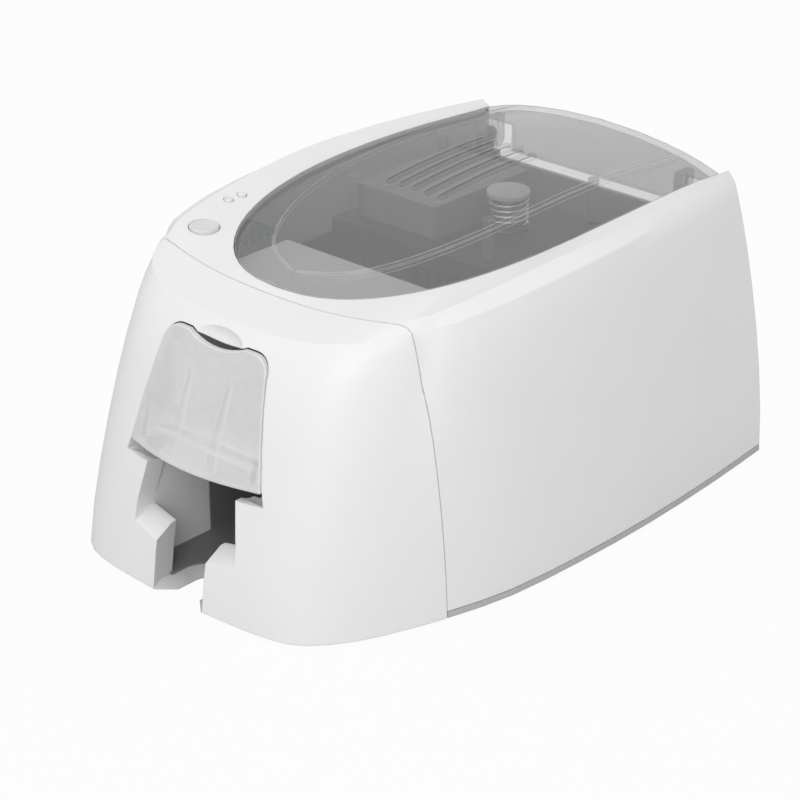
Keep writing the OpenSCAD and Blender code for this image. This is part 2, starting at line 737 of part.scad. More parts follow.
// Hood over the hopper: the pale shelf that shows under the front of the lid
hood_half = 46;
hood_t = 2;
hood_front_y = -69;
hood_back_y = -22;
hood_z = crest_h - 21.8;
hood_corner = 10;
hood_outline = concat([for (a = [-90:15:0]) [hood_half - hood_corner + hood_corner * cos(a),
    hood_front_y + hood_corner + hood_corner * sin(a)]], [[hood_half, hood_back_y]]);
module hopper_hood() color([0.82, 0.82, 0.83]) at_base() {
    translate([0, 0, hood_z]) linear_extrude(hood_t) mirrored_shape(hood_outline);
    both_sides() block([hopper_half, hood_front_y + hood_corner, hopper_top],
        [hopper_half + hopper_t, hood_back_y - hopper_t, hood_z + hood_t / 2]);
}

// Weight that presses the card stack down
weight_gap = 0.5;
weight_front_y = hopper_front_y + 7;
weight_t = 4;
rib_in = 6;
rib_t = 3;
rib_back_y = -30;
tab_half = 10;
tab_front_y = pick_y - 2;
tab_back_y = pick_y + 6;
module card_weight() color([0.2, 0.2, 0.21]) at_base() {
    w = hopper_half - weight_gap;
    z0 = card_z + 0.5;
    block([-w, weight_front_y, z0], [w, hopper_back_y - weight_gap, z0 + weight_t]);
    both_sides() block([w - rib_in - rib_t, weight_front_y + 8, z0 + weight_t - eps],
        [w - rib_in, rib_back_y, z0 + weight_t + 6]);
    block([-tab_half, tab_front_y, z0 + weight_t - eps], [tab_half, tab_back_y, z0 + weight_t + 9]);
}

// Side frames with shaft holes, joined by tie bars
frame_front_y = -70;
frame_back_y = back_y - 18.3;
frame_low = 8;
shaft_places = [[pick_y, card_z - roller_r], [feed_y, card_z - roller_r], [platen_y, card_z - roller_r],
    [exit_y, card_z - roller_r]];
pinch_z = card_z + nip + pinch_r;
idle_places = [[feed_y, pinch_z], [exit_y, pinch_z]];
spool_places = [[supply_y, spool_z], [takeup_y, spool_z]];
tie_z = 24;
tie_places = [[-33, tie_z], [back_y - 24.3, tie_z], [32, tie_z]];
bush_r = 4.6;
idle_r = 2;
frame_windows = [[24, 74, 40, 12], [70, 26, 36, 16]];
flange_w = 14;
flange_half = 8;
module side_frames() color([0.66, 0.67, 0.69]) at_base() both_sides() difference() {
    union() {
        side_prism(frame_half, frame_half + frame_t) difference() {
            polygon([[frame_front_y, 42], [frame_front_y, 70], [-16, frame_top], [frame_back_y, frame_top],
                [frame_back_y, frame_low], [-26, frame_low], [-40, rim_h], [-48, rim_h], [-56, 24]]);
            for (w = frame_windows) translate([w[0], w[1]]) square([w[2], w[3]], center = true);
        }
        for (p = screw_places) if (p[0] > 0) block([frame_half, p[1] - flange_half, rim_h],
            [frame_half + flange_w, p[1] + flange_half, rim_h + frame_t]);
        side_prism(frame_half, frame_half + frame_t) translate([screw_back_y - flange_half, rim_h])
            square([2 * flange_half, frame_low]);
    }
    for (p = shaft_places) rod_x(bush_r, 0, far, p[0], p[1]);
    for (p = idle_places) rod_x(idle_r + run, 0, far, p[0], p[1]);
    for (p = spool_places) rod_x(shaft_r + run, 0, far, p[0], p[1]);
    for (p = tie_places) rod_x(tie_r, 0, far, p[0], p[1]);
    rod_x(boss_r, 0, far, motor_y, motor_z);
    for (p = screw_places) if (p[0] > 0) translate([p[0], p[1], 0]) cylinder(r = screw_r, h = 8);
}
boss_r = 5;

module tie_bars() color([0.75, 0.76, 0.78]) at_base() for (p = tie_places)
    rod_x(tie_r, -frame_half - frame_t, frame_half + frame_t, p[0], p[1]);

bush_l = 3;
module roller_bushes() color([0.8, 0.68, 0.35]) at_base() both_sides() for (p = shaft_places) difference() {
    rod_x(bush_r, frame_half - 0.7, frame_half + frame_t + 0.5, p[0], p[1]);
    rod_x(shaft_r + run, 0, far, p[0], p[1]);
}

// Deck under the card path, with edge guides and a chute down to the bay
deck_t = 2;
deck_top = card_z - 0.7;
deck_front_y = feed_y + roller_r + 2;
deck_back_y = exit_y - roller_r - 1.5;
guide_in = card_w / 2 + 0.4;
guide_out = guide_in + 1.6;
module inner_deck() color([0.3, 0.3, 0.31]) at_base() difference() {
    union() {
        block([-frame_half, deck_front_y, deck_top - deck_t], [frame_half, deck_back_y, deck_top]);
        both_sides() block([guide_in, deck_front_y, deck_top - eps],
            [guide_out, deck_front_y + 28, card_z + 1]);
        both_sides() block([guide_in, 72, deck_top - eps], [guide_out, deck_back_y, card_z + 1]);
    }
    block([-roller_l / 2 - cutout_gap, platen_y - roller_r - cutout_gap, 0],
        [roller_l / 2 + cutout_gap, platen_y + roller_r + cutout_gap, far]);
    block([-far, platen_y - shaft_r - cutout_gap, 0],
        [far, platen_y + shaft_r + cutout_gap, deck_top - deck_t + 0.35]);
    both_sides() block([frame_half - 1.2, platen_y - bush_r - fit_gap, 0],
        [far, platen_y + bush_r + fit_gap, far]);
}

// Brackets that carry the lid's hinge
bracket_low = frame_top - 14;
bracket_bend = frame_top + 6;
bracket_r = 4.6;
module hinge_brackets() color([0.4, 0.4, 0.41]) at_base() both_sides() difference() {
    union() {
        side_prism(bracket_x, frame_half) polygon([[hinge_y - 18, bracket_low],
            [hinge_y - 18, bracket_bend - 12],
            [hinge_y - bracket_r, bracket_bend], [hinge_y - bracket_r, hinge_z],
            [hinge_y + bracket_r - 2, hinge_z], [hinge_y + bracket_r - 2, bracket_bend],
            [hinge_y - 10, bracket_low]]);
        rod_x(bracket_r, bracket_x, frame_half, hinge_y, hinge_z);
    }
    rod_x(hinge_r + run, 0, far, hinge_y, hinge_z);
}

// Main circuit board on the tray's standoffs: its parts as place, size and height
board_parts = [[0, 30, 16, 16, 2], [26, 56, 10, 14, 2], [-14, 70, 10, 24, 8], [38, 92, 14, 8, 7]];
can_x = 44;
can_ys = [12, 24];
can_r = 4;
can_h = 9;
module main_board() color([0.1, 0.35, 0.2]) at_base() {
    block([board_low[0], board_low[1], board_z], [board_high[0], board_high[1], board_z + board_t]);
    top = board_z + board_t - eps;
    for (c = board_parts) block([c[0], c[1], top], [c[0] + c[2], c[1] + c[3], top + c[4]]);
    for (y = can_ys) translate([can_x, y, top]) cylinder(r = can_r, h = can_h);
}

module drive_motor() color([0.55, 0.56, 0.58]) at_base() difference() {
    union() {
        rod_x(motor_r, -frame_half, -frame_half + motor_l, motor_y, motor_z);
        rod_x(motor_r - 4, -frame_half + motor_l - eps, -frame_half + motor_l + 3, motor_y, motor_z);
    }
    rod_x(motor_shaft_r + run, -frame_half - 1, -frame_half + 10, motor_y, motor_z);
}

// Toothless belts round their pulleys
motor_shaft_r = 1.5;
belt_x = -frame_half - 6;
pick_belt_x = frame_half + 6;
module belt(x, places) {
    translate([x - belt_w / 2, 0, 0]) rotate([90, 0, 90]) linear_extrude(belt_w) difference() {
        hull() for (p = places) translate(p) circle(r = pulley_r + belt_gap + belt_t, $fn = 32);
        hull() for (p = places) translate(p) circle(r = pulley_r + belt_gap, $fn = 32);
    }
}
module drive_belt() color([0.08, 0.08, 0.08]) at_base()
    belt(belt_x, [shaft_places[1], shaft_places[3], [motor_y, motor_z]]);
module pick_belt() color([0.08, 0.08, 0.08]) at_base()
    belt(pick_belt_x, [shaft_places[0], shaft_places[1]]);

pulley_flat = 0.6;
module pulley(x, p, r) {
    rod_x(r, x - belt_w / 2 - pulley_flat, x + belt_w / 2 + pulley_flat, p[0], p[1]);
}
module roller(p, x0, x1) {
    rod_x(roller_r, -roller_l / 2, roller_l / 2, p[0], p[1]);
    rod_x(shaft_r, x0, x1, p[0], p[1]);
}
shaft_end = belt_w / 2 + pulley_flat + 0.8;
module motor_pulley() color([0.75, 0.75, 0.76]) at_base() {
    rod_x(motor_shaft_r, belt_x, -frame_half + 9, motor_y, motor_z);
    pulley(belt_x, [motor_y, motor_z], pulley_r);
}
module pick_roller() color([0.18, 0.18, 0.19]) at_base() {
    roller(shaft_places[0], -frame_half - frame_t - 1, pick_belt_x + shaft_end);
    pulley(pick_belt_x, shaft_places[0], pulley_r);
}
module feed_roller() color([0.18, 0.18, 0.19]) at_base() {
    roller(shaft_places[1], belt_x - shaft_end, pick_belt_x + shaft_end);
    pulley(belt_x, shaft_places[1], pulley_r);
    pulley(pick_belt_x, shaft_places[1], pulley_r);
}
module platen_roller() color([0.18, 0.18, 0.19]) at_base() {
    roller(shaft_places[2], belt_x - shaft_end, frame_half + frame_t + 1);
    pulley(belt_x, shaft_places[2], pulley_r);
}
module exit_roller() color([0.18, 0.18, 0.19]) at_base() {
    roller(shaft_places[3], belt_x - shaft_end, frame_half + frame_t + 1);
    pulley(belt_x, shaft_places[3], pulley_r);
}
module pinch(p) {
    rod_x(pinch_r, -card_w / 2 + 2, card_w / 2 - 2, p[0], p[1]);
    rod_x(idle_r, -frame_half - frame_t - 1, frame_half + frame_t + 1, p[0], p[1]);
}
module front_pinch_roller() color([0.45, 0.45, 0.46]) at_base() pinch(idle_places[0]);
module rear_pinch_roller() color([0.45, 0.45, 0.46]) at_base() pinch(idle_places[1]);

// Ribbon spools and the ribbon that runs under the print head
spool_flange_r = 1.5;
module spool(p, r) {
    rod_x(r, -spool_l / 2, spool_l / 2, p[0], p[1]);
    both_sides() rod_x(r + spool_flange_r, spool_l / 2 - eps, spool_l / 2 + 1.5, p[0], p[1]);
    rod_x(shaft_r, -frame_half - frame_t - 1, frame_half + frame_t + 1, p[0], p[1]);
}
module supply_spool() color([0.16, 0.15, 0.17]) at_base() spool(spool_places[0], supply_r);
module takeup_spool() color([0.16, 0.15, 0.17]) at_base() spool(spool_places[1], takeup_r);

film_half = spool_l / 2 - 0.5;
film_z = card_z + 0.35;
film_reach = 10;
film_gap = 0.35;
module film_strip(a, b) {
    d = b - a;
    side_prism(-film_half, film_half) translate(a) rotate(atan2(d[1], d[0])) square([norm(d), film_t]);
}
module ribbon_film() color([0.1, 0.1, 0.12]) at_base() {
    a = [platen_y - film_reach, film_z];
    b = [platen_y + film_reach, film_z];
    union() {
        film_strip(a, b);
        film_strip([takeup_y + 3, spool_z - takeup_r - film_gap - film_t - 0.6], a + [0.2, 0]);
        film_strip(b - [0.2, 0], [supply_y - 4, spool_z - supply_r - film_gap - film_t + 0.1]);
    }
}

// Lid: a long dome with a crease along each side
crease_share = 0.8;
crease_start = -62;
crease_straight = 40;
crease_fall = 0.00095;
crease_mid = 57;
nose_slope = 0.4;
nose_t = 0.2;
side_bulge = 0.4;
least_half = 1.2;
function crease_x(y, w) = min(crease_share * w, crease_half * (y < crease_straight
    ? pow(max(0.0001, 1 - pow((crease_straight - y) / (crease_straight - crease_start), 2.2)), 1 / 2.3)
    : 1));
function crease_top(y) = min(crease_h - crease_fall * pow(y - crease_mid, 2),
    deck_z(y) + nose_slope * (y - lid_front) + nose_t);
// The step beside the crease fades out at the lid's front tip and at its back
step_fade_front = 12;
step_fade_back = 10;
function step_share(y) = clamp((y - lid_front - 4) / step_fade_front, 0, 1)
    * clamp((lid_back - lid_t - y) / step_fade_back, 0, 1);
function lid_section(y, t) =
    let (w = max(lid_w(y, 0), least_half) - t, c = crease_x(y, w), top = crease_top(y) - t,
        edge = deck_z(y) - t, rise = crown_h * c / crease_half, m = (c + w) / 2,
        side = (top + edge) / 2 + side_bulge, d = min(crease_step, 0.06 * w))
    [[0, top + rise], [0.45 * c, top + 0.8 * rise], [0.78 * c, top + 0.4 * rise], [c, top],
        [c + d, lerp(top, side, d / (m - c)) - d * step_share(y)],
        [m, side], [w, edge], [w, deck_z(y) - skirt - t]];
// Height of the lid's lower side over a place inside its skirt
function lid_under(x, y) =
    let (h = lid_section(y, lid_t), k = [for (i = [0:5]) if (abs(x) <= h[i + 1][0]) i][0],
        a = h[k], b = h[k + 1])
    lerp(a[1], b[1], (abs(x) - a[0]) / (b[0] - a[0]));
function lid_ring(y, t) =
    let (h = lid_section(y, t), n = len(h))
    concat([for (i = [n - 1:-1:1]) [h[i][0], y, h[i][1]]], [[0, y, h[0][1]]],
        [for (i = [1:n - 1]) [-h[i][0], y, h[i][1]]]);
module lid_form(t) {
    front = lid_front + 0.01 + t;
    rings = [for (k = [0:lid_count]) lid_ring(lid_y(k, front, lid_back - t), t)];
    n = len(rings[0]);
    m = len(rings);
    polyhedron(points = [for (r = rings) each r], faces = concat(
        [for (j = [0:m - 2], i = [0:n - 1]) each [
            [j * n + (i + 1) % n, (j + 1) * n + i, j * n + i],
            [(j + 1) * n + (i + 1) % n, (j + 1) * n + i, j * n + (i + 1) % n]]],
        [[for (i = [n - 1:-1:0]) i]],
        [[for (i = [0:n - 1]) (m - 1) * n + i]]), convexity = 4);
}
vent_count = 5;
vent_y = 7;
rear_wall_half = 50.5;
rear_wall_low = hinge_z - 8;
module lid_shell() color([0.55, 0.55, 0.56, 0.5]) at_base() difference() {
    union() {
        lid_form(0);
        block([-rear_wall_half, lid_back - lid_t, rear_wall_low],
            [rear_wall_half, lid_back, deck_z(lid_back)]);
    }
    translate([0, 0, -0.1]) lid_form(lid_t);
    for (i = [0:vent_count - 1]) translate([(i - (vent_count - 1) / 2) * vent_pitch, 0, hinge_z])
        linear_extrude(far) union() {
            translate([-vent_w / 2, vent_y + vent_w / 2]) square([vent_w, vent_l - vent_w]);
            translate([0, vent_y + vent_w / 2]) circle(r = vent_w / 2, $fn = 24);
            translate([0, vent_y + vent_l - vent_w / 2]) circle(r = vent_w / 2, $fn = 24);
        }
}

lid_ear_half = 4.5;
lid_ear_top = lid_under(lid_ear_x + lid_ear_t, hinge_y + lid_ear_half) - 0.12;
lid_ear_r = 4.6;
module lid_hinges() color([0.45, 0.45, 0.46]) at_base() both_sides() {
    block([lid_ear_x, hinge_y - lid_ear_half, hinge_z],
        [lid_ear_x + lid_ear_t, hinge_y + lid_ear_half, lid_ear_top]);
    rod_x(lid_ear_r, lid_ear_x, lid_ear_x + lid_ear_t, hinge_y, hinge_z);
    rod_x(hinge_r, lid_ear_x, frame_half - 0.4, hinge_y, hinge_z);
}

// Carrier under the lid that holds the print head
carrier_half = 46;
carrier_front_y = 6;
carrier_back_y = 80;
block_low = [-40, 16];
block_high = [5, 78];
block_top = crest_h - 2.8;
carrier_posts = [[-43, 76], [43, 76], [-38, 12], [38, 12]];
carrier_post_r = 2.5;
post_gap = 1;
leg_places = [[12, 0], [24, 0], [-24, 0]];
leg_r = 1.5;
spring_x = 18;
module head_carrier() color([0.28, 0.28, 0.29]) at_base() difference() {
    union() {
        block([-carrier_half, carrier_front_y, carrier_z],
            [carrier_half, carrier_back_y, carrier_z + carrier_t]);
        block([block_low[0], block_low[1], carrier_z + carrier_t - eps],
            [block_high[0], block_high[1], block_top]);
        for (i = [0:3]) translate([carrier_posts[i][0], carrier_posts[i][1], carrier_z + carrier_t - eps])
            cylinder(r = carrier_post_r, h = lid_under(carrier_posts[i][0], carrier_posts[i][1])
                - post_gap - carrier_z - carrier_t);
    }
    for (p = leg_places) translate([p[0], platen_y, carrier_z - 1])
        cylinder(r = leg_r + run, h = carrier_t + 2);
    translate([leg_places[2][0], platen_y, carrier_z + 6]) cylinder(r = 4, h = 10);
}

cap_t = 2.5;
cap_r = spring_r + 0.5;
collar_t = 1.4;
collar_z = carrier_z + carrier_t + 0.4;
spring_z = collar_z + collar_t;
cap_z = spring_z + spring_l;
module spring_cap() color([0.8, 0.8, 0.8]) at_base() translate([spring_x, platen_y, 0]) {
    translate([0, 0, cap_z]) cylinder(r = cap_r, h = cap_t);
    translate([0, 0, carrier_z + carrier_t]) cylinder(r = 3, h = cap_z - carrier_z - carrier_t + eps);
}

// Head spring as one round wire
ring_steps = 12;
wire_sides = 8;
spring_low = wire_r + 0.02;
echo(least_gap_of_the_spring = (spring_l - 2 * spring_low) / turns - 2 * wire_r);
module head_spring() color([0.7, 0.7, 0.72]) at_base() translate([spring_x, platen_y, spring_z]) {
    count = turns * ring_steps;
    mid_r = spring_r - wire_r;
    rings = [for (k = [0:count]) let (a = k * 360 / ring_steps,
            z = lerp(spring_low, spring_l - spring_low, k / count))
        [for (i = [0:wire_sides - 1]) let (b = i * 360 / wire_sides, r = mid_r + wire_r * cos(b))
            [r * cos(a), r * sin(a), z + wire_r * sin(b)]]];
    n = wire_sides;
    polyhedron(points = [for (r = rings) each r], faces = concat(
        [for (j = [0:count - 1], i = [0:n - 1]) each [
            [j * n + (i + 1) % n, (j + 1) * n + i, j * n + i],
            [(j + 1) * n + (i + 1) % n, (j + 1) * n + i, j * n + (i + 1) % n]]],
        [[for (i = [n - 1:-1:0]) i]],
        [[for (i = [0:n - 1]) count * n + i]]), convexity = 8);
}

// Floating print head: a heat sink with a narrow print edge below and a collar under the spring
head_half = 32;
head_low = film_z + film_t + 0.35;
head_top = carrier_z - head_travel - 0.4;
edge_high = 5;
fin_count = 9;
fin_gap = 3;
module print_head() color([0.6, 0.61, 0.63]) at_base() {
    difference() {
        block([-head_half, platen_y - 8, head_low + edge_high], [head_half, platen_y + 8, head_top]);
        for (i = [0:fin_count - 1]) both_faces() translate([(i - (fin_count - 1) / 2) * 7, 0, 0])
            block([-fin_gap / 2, platen_y + 4, head_low + edge_high + 8], [fin_gap / 2, far, head_top - 6]);
    }
    block([-card_w / 2, platen_y - 3, head_low], [card_w / 2, platen_y + 3, head_low + edge_high + eps]);
    for (p = leg_places) translate([p[0], platen_y, head_top - eps])
        cylinder(r = leg_r, h = collar_z - head_top + eps - (p[0] < 0 ? 5 : 0));
    translate([spring_x, platen_y, collar_z]) difference() {
        cylinder(r = spring_r, h = collar_t);
        translate([0, 0, -1]) cylinder(r = 3.5, h = 4);
    }
}
module both_faces() {
    children();
    translate([0, 2 * platen_y, 0]) mirror([0, 1, 0]) children();
}

// Hopper flap: a see-through panel that bulges forwards towards its lower edge, on two arms
flap_arm_x = 30;
flap_arm_t = 3;
rib_x = 11;
rib_wide = 4.5;
rib_deep = 2;
rib_high = 33;
flap_bulge = 4.6;
flap_in = 11;
flap_slope = 0.245;
flap_curl = 0.0014;
flap_bow = 0.0013;
flap_cols = 8;
flap_zs = [for (u = [-0.028, 0.051, 0.15, 0.269, 0.407, 0.545, 0.684, 0.842, 1.04])
    lerp(flap_low, flap_high, u)];
function flap_y(x, z) =
    let (d = z - flap_low - 0.6, s = clamp((flap_high - 2 - z) / (flap_high - 2 - flap_low), 0, 1))
    front_y + flap_in + flap_slope * d + flap_curl * d * d + flap_bow * x * x
        - flap_bulge * pow(max(0, 1 - pow(x / (flap_half + 1), 2)), 1.2) * pow(s, 1.3);
module flap_skin() {
    rings = [for (i = [-flap_cols:flap_cols]) let (x = i / flap_cols * (flap_half + 0.8))
        concat([for (z = flap_zs) [x, flap_y(x, z), z]],
            [for (k = [len(flap_zs) - 1:-1:0]) [x, flap_y(x, flap_zs[k]) + flap_t, flap_zs[k]]])];
    n = 2 * len(flap_zs);
    m = len(rings);
    polyhedron(points = [for (r = rings) each r], faces = concat(
        [for (j = [0:m - 2], i = [0:n - 1]) each [
            [j * n + (i + 1) % n, (j + 1) * n + i, j * n + i],
            [(j + 1) * n + (i + 1) % n, (j + 1) * n + i, j * n + (i + 1) % n]]],
        [[for (i = [n - 1:-1:0]) i]],
        [[for (i = [0:n - 1]) (m - 1) * n + i]]), convexity = 4);
}
module hopper_flap() color([0.86, 0.86, 0.87, 0.8]) at_base() {
    intersection() {
        flap_skin();
        front_prism(-far, part_y) flap_outline(0);
    }
    both_sides() difference() {
        side_prism(flap_arm_x, flap_arm_x + flap_arm_t) union() {
            polygon([[flap_y(flap_arm_x, 59) + flap_t / 2, 59], [flap_y(flap_arm_x, 72) + flap_t / 2, 72],
                [flap_hinge_y, flap_hinge_z + 3], [flap_hinge_y, flap_hinge_z - 3]]);
            translate([flap_hinge_y, flap_hinge_z]) circle(r = 3.4);
        }
        rod_x(flap_pin_r, 0, far, flap_hinge_y, flap_hinge_z);
    }
    both_sides() intersection() {
        side_prism(0, rib_x + rib_wide) polygon(concat(
            [for (k = [0:6]) let (z = flap_low + 1.5 + k * rib_high / 6) [flap_y(rib_x, z) + flap_t / 2, z]],
            [for (k = [6:-1:0]) let (z = flap_low + 1.5 + k * rib_high / 6)
                [flap_y(rib_x, z) + flap_t + rib_deep, z]]));
        front_prism(-far, part_y) polygon([[rib_x - rib_wide / 2, flap_low], [rib_x + rib_wide / 2, flap_low],
            [rib_x + 0.6, flap_high], [rib_x - 0.6, flap_high]]);
    }
}
module flap_rod() color([0.7, 0.7, 0.72]) at_base()
    rod_x(flap_pin_r, -ear_x - ear_t, ear_x + ear_t, flap_hinge_y, flap_hinge_z);

// Button, status lights and their board
panel_board_z = crest_h - 19.8;
button_low = crest_h - 15.6;
panel_board_low = [button_x - 14, button_y - 7];
panel_board_high = [button_x + 7.5, button_y + 37];
panel_post_r = 2;
panel_posts = [[button_x - 11, button_y + 10, crest_h - 8.6], [button_x - 0.5, button_y + 23, crest_h - 9.6]];
module control_button() color([0.85, 0.85, 0.86]) at_base() translate([button_x, button_y, 0]) {
    translate([0, 0, button_low]) cylinder(r = button_r, h = button_top - button_low);
    translate([0, 0, panel_board_z + board_t + 0.3 + button_travel]) cylinder(r = 2.5, h = 3);
}
module status_lights() color([0.9, 0.92, 0.9]) at_base() for (i = [0:1])
    translate([light_places[i][0], light_places[i][1], panel_board_z + board_t])
        cylinder(r = light_r, h = light_tops[i] - panel_board_z - board_t);
module button_board() color([0.1, 0.35, 0.2]) at_base() {
    block([panel_board_low[0], panel_board_low[1], panel_board_z],
        [panel_board_high[0], panel_board_high[1], panel_board_z + board_t]);
    for (p = panel_posts) translate([p[0], p[1], panel_board_z + board_t - eps])
        cylinder(r = panel_post_r, h = p[2] - panel_board_z - board_t);
}

base_tray();
rubber_feet();
front_cover();
main_housing();
rear_panel();
case_screws();
output_tray();
input_hopper();
hopper_hood();
side_frames();
tie_bars();
inner_deck();
hinge_brackets();
main_board();
power_inlet();
usb_socket();
drive_motor();
drive_belt();
pick_belt();
roller_bushes();
button_board();
status_lights();
switch_bezel();
lid_shell();
lid_hinges();
head_carrier();
spring_cap();
head_spring();
print_head();
hopper_flap();
flap_rod();
control_button();
card_weight();
motor_pulley();
pick_roller();
feed_roller();
platen_roller();
exit_roller();
front_pinch_roller();
rear_pinch_roller();
supply_spool();
takeup_spool();
ribbon_film();
power_rocker();
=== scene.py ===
# %% [markdown]
# # A desktop card printer with a smoke lid
# The printer comes from the CAD as forty-four named solids, each in its real place and at its
# real size in metres. This lesson dresses them: some solids only get a finish, others are
# replaced by a rounder or more detailed piece that rides on the same moving body.

# %% Load the CAD frame
import bpy
import math
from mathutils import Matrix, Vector


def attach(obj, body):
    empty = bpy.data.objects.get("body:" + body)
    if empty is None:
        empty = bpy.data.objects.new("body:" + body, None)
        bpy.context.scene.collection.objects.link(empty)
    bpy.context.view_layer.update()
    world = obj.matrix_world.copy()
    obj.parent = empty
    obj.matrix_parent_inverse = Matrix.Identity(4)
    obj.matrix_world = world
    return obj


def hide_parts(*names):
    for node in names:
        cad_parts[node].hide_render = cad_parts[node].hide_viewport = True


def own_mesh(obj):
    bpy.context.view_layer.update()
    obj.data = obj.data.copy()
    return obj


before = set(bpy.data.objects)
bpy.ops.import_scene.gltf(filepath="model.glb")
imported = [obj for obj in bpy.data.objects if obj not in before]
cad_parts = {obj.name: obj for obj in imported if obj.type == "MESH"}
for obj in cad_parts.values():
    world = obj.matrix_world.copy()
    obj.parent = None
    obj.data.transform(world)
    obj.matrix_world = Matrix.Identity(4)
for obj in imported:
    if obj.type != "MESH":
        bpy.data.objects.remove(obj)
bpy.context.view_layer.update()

# %% [markdown]
# ## Small helpers for modelling
# Blender's operators act on whatever is selected, and the CAD solids arrive selected. So every
# piece starts with nothing selected, and faces or edges are then picked in code by where they
# lie or where they face. Sizes are written in millimetres, as a maker would, and turned into
# metres by one factor.

# %% Selecting and picking
MM = 0.001


def only(piece):
    """Leaves just this piece selected and active."""
    if bpy.context.mode != "OBJECT":
        bpy.ops.object.mode_set(mode="OBJECT")
    bpy.ops.object.select_all(action="DESELECT")
    piece.select_set(True)
    bpy.context.view_layer.objects.active = piece
    return piece


def new_piece(name):
    """Names the primitive that was just added and puts its place into its mesh."""
    piece = bpy.context.active_object
    piece.name = name
    piece.data.name = name
    only(piece)
    bpy.ops.object.transform_apply(location=True, rotation=True, scale=True)
    return piece


def pick_faces(piece, wanted):
    """In edit mode with only the faces selected that wanted(face) accepts."""
    only(piece)
    bpy.ops.object.mode_set(mode="EDIT")
    bpy.ops.mesh.select_mode(type="FACE")
    bpy.ops.mesh.select_all(action="DESELECT")
    bpy.ops.object.mode_set(mode="OBJECT")
    for face in piece.data.polygons:
        face.select = wanted(face)
    bpy.ops.object.mode_set(mode="EDIT")


def apply_modifier(piece, kind, **settings):
    """Adds one modifier, sets it up and applies it to the mesh."""
    only(piece)
    modifier = piece.modifiers.new(kind.title(), kind)
    for key, value in settings.items():
        setattr(modifier, key, value)
    bpy.ops.object.modifier_apply(modifier=modifier.name)


def count(piece):
    """Prints how many points and faces a piece has."""
    print(piece.name, len(piece.data.vertices), "points", len(piece.data.polygons), "faces")


# %% [markdown]
# ## Writing shader maths as ordinary sums
# A plastic's look is a little arithmetic: some noise makes the grain, another the blotches, and
# their sum changes the colour and the roughness. Node by node that is slow to read, so a small
# class wraps a socket and lets plus, minus and times add the Math nodes.

# %% Sockets that add and multiply
class Wire:
    """A value in a node tree that works in sums like a number."""

    def __init__(self, recipe, socket):
        self.recipe = recipe
        self.socket = socket

    def maths(self, operation, *values):
        inputs = dict(enumerate(values))
        return self.recipe.node("ShaderNodeMath", {"operation": operation}, inputs)

    def __add__(self, other):
        return self.maths("ADD", self, other)

    __radd__ = __add__

    def __sub__(self, other):
        return self.maths("SUBTRACT", self, other)

    def __rsub__(self, other):
        return self.maths("SUBTRACT", other, self)

    def __mul__(self, other):
        return self.maths("MULTIPLY", self, other)

    __rmul__ = __mul__

    def above(self, limit):
        """1 where the value is over the limit, otherwise 0."""
        return self.maths("GREATER_THAN", self, limit)

    def clipped(self, low, high):
        """The value, kept between two limits."""
        return self.maths("MINIMUM", self.maths("MAXIMUM", self, low), high)


class Recipe:
    """A node tree that is written from inputs to output."""

    # A Mix node's sockets for colours come after those for numbers and vectors.
    MIX_FACTOR, MIX_FIRST, MIX_SECOND, MIX_RESULT = 0, 6, 7, 2

    def __init__(self, tree):
        self.tree = tree
        self.tree.nodes.clear()

    def node(self, kind, settings=None, inputs=None, output=0):
        """Adds a node: its settings first, then the values or wires of its sockets."""
        made = self.tree.nodes.new(kind)
        for key, value in (settings or {}).items():
            setattr(made, key, value)
        for key, value in (inputs or {}).items():
            if isinstance(value, Wire):
                self.tree.links.new(value.socket, made.inputs[key])
            else:
                made.inputs[key].default_value = value
        return Wire(self, made.outputs[output]) if made.outputs else made

    def place(self):
        """Coordinates fixed to the piece, in metres."""
        return self.node("ShaderNodeTexCoord", output="Object")

    def axes(self):
        """The three coordinates as separate wires."""
        split = self.node("ShaderNodeSeparateXYZ", None, {0: self.place()})
        return [Wire(self, socket) for socket in split.socket.node.outputs]

    def noise(self, size_mm, detail=2.0, stretch=(1, 1, 1)):
        """Soft random patches of about this size, centred on zero."""
        where = self.node("ShaderNodeMapping", None, {"Vector": self.place(), "Scale": stretch})
        value = self.node("ShaderNodeTexNoise", None,
                          {"Vector": where, "Scale": 1 / (size_mm * MM), "Detail": detail})
        return value - 0.5

    def blend(self, factor, first, second):
        """One colour going over into another."""
        return self.node("ShaderNodeMix", {"data_type": "RGBA"},
                         {self.MIX_FACTOR: factor, self.MIX_FIRST: first,
                          self.MIX_SECOND: second}, self.MIX_RESULT)

    def bump(self, height, depth_mm, normal=None):
        """Small relief that is depth_mm high."""
        inputs = {"Height": height, "Distance": depth_mm * MM, "Strength": 1.0}
        if normal:
            inputs["Normal"] = normal
        return self.node("ShaderNodeBump", None, inputs)

    def soft_edges(self, radius_mm, gain=4, start=0.0):
        """The normal as if edges were rounded, and a mask that is above 0 along them."""
        rounded = self.node("ShaderNodeBevel", {"samples": 4}, {"Radius": radius_mm * MM})
        flat = self.node("ShaderNodeNewGeometry", output="Normal")
        together = self.node("ShaderNodeVectorMath", {"operation": "DOT_PRODUCT"},
                             {0: rounded, 1: flat}, "Value")
        return rounded, ((1 - start - together) * gain).clipped(0, 1)

    def surface(self, inputs):
        """Ends the tree in a Principled shader with these inputs."""
        skin = self.node("ShaderNodeBsdfPrincipled", None, inputs)
        self.node("ShaderNodeOutputMaterial", None, {"Surface": skin})


def new_finish(name):
    """An empty material, and the recipe that fills it."""
    material = bpy.data.materials.new(name)
    material.use_nodes = True
    return material, Recipe(material.node_tree)


def grey(tone):
    """A neutral colour."""
    return (tone, tone, tone, 1)


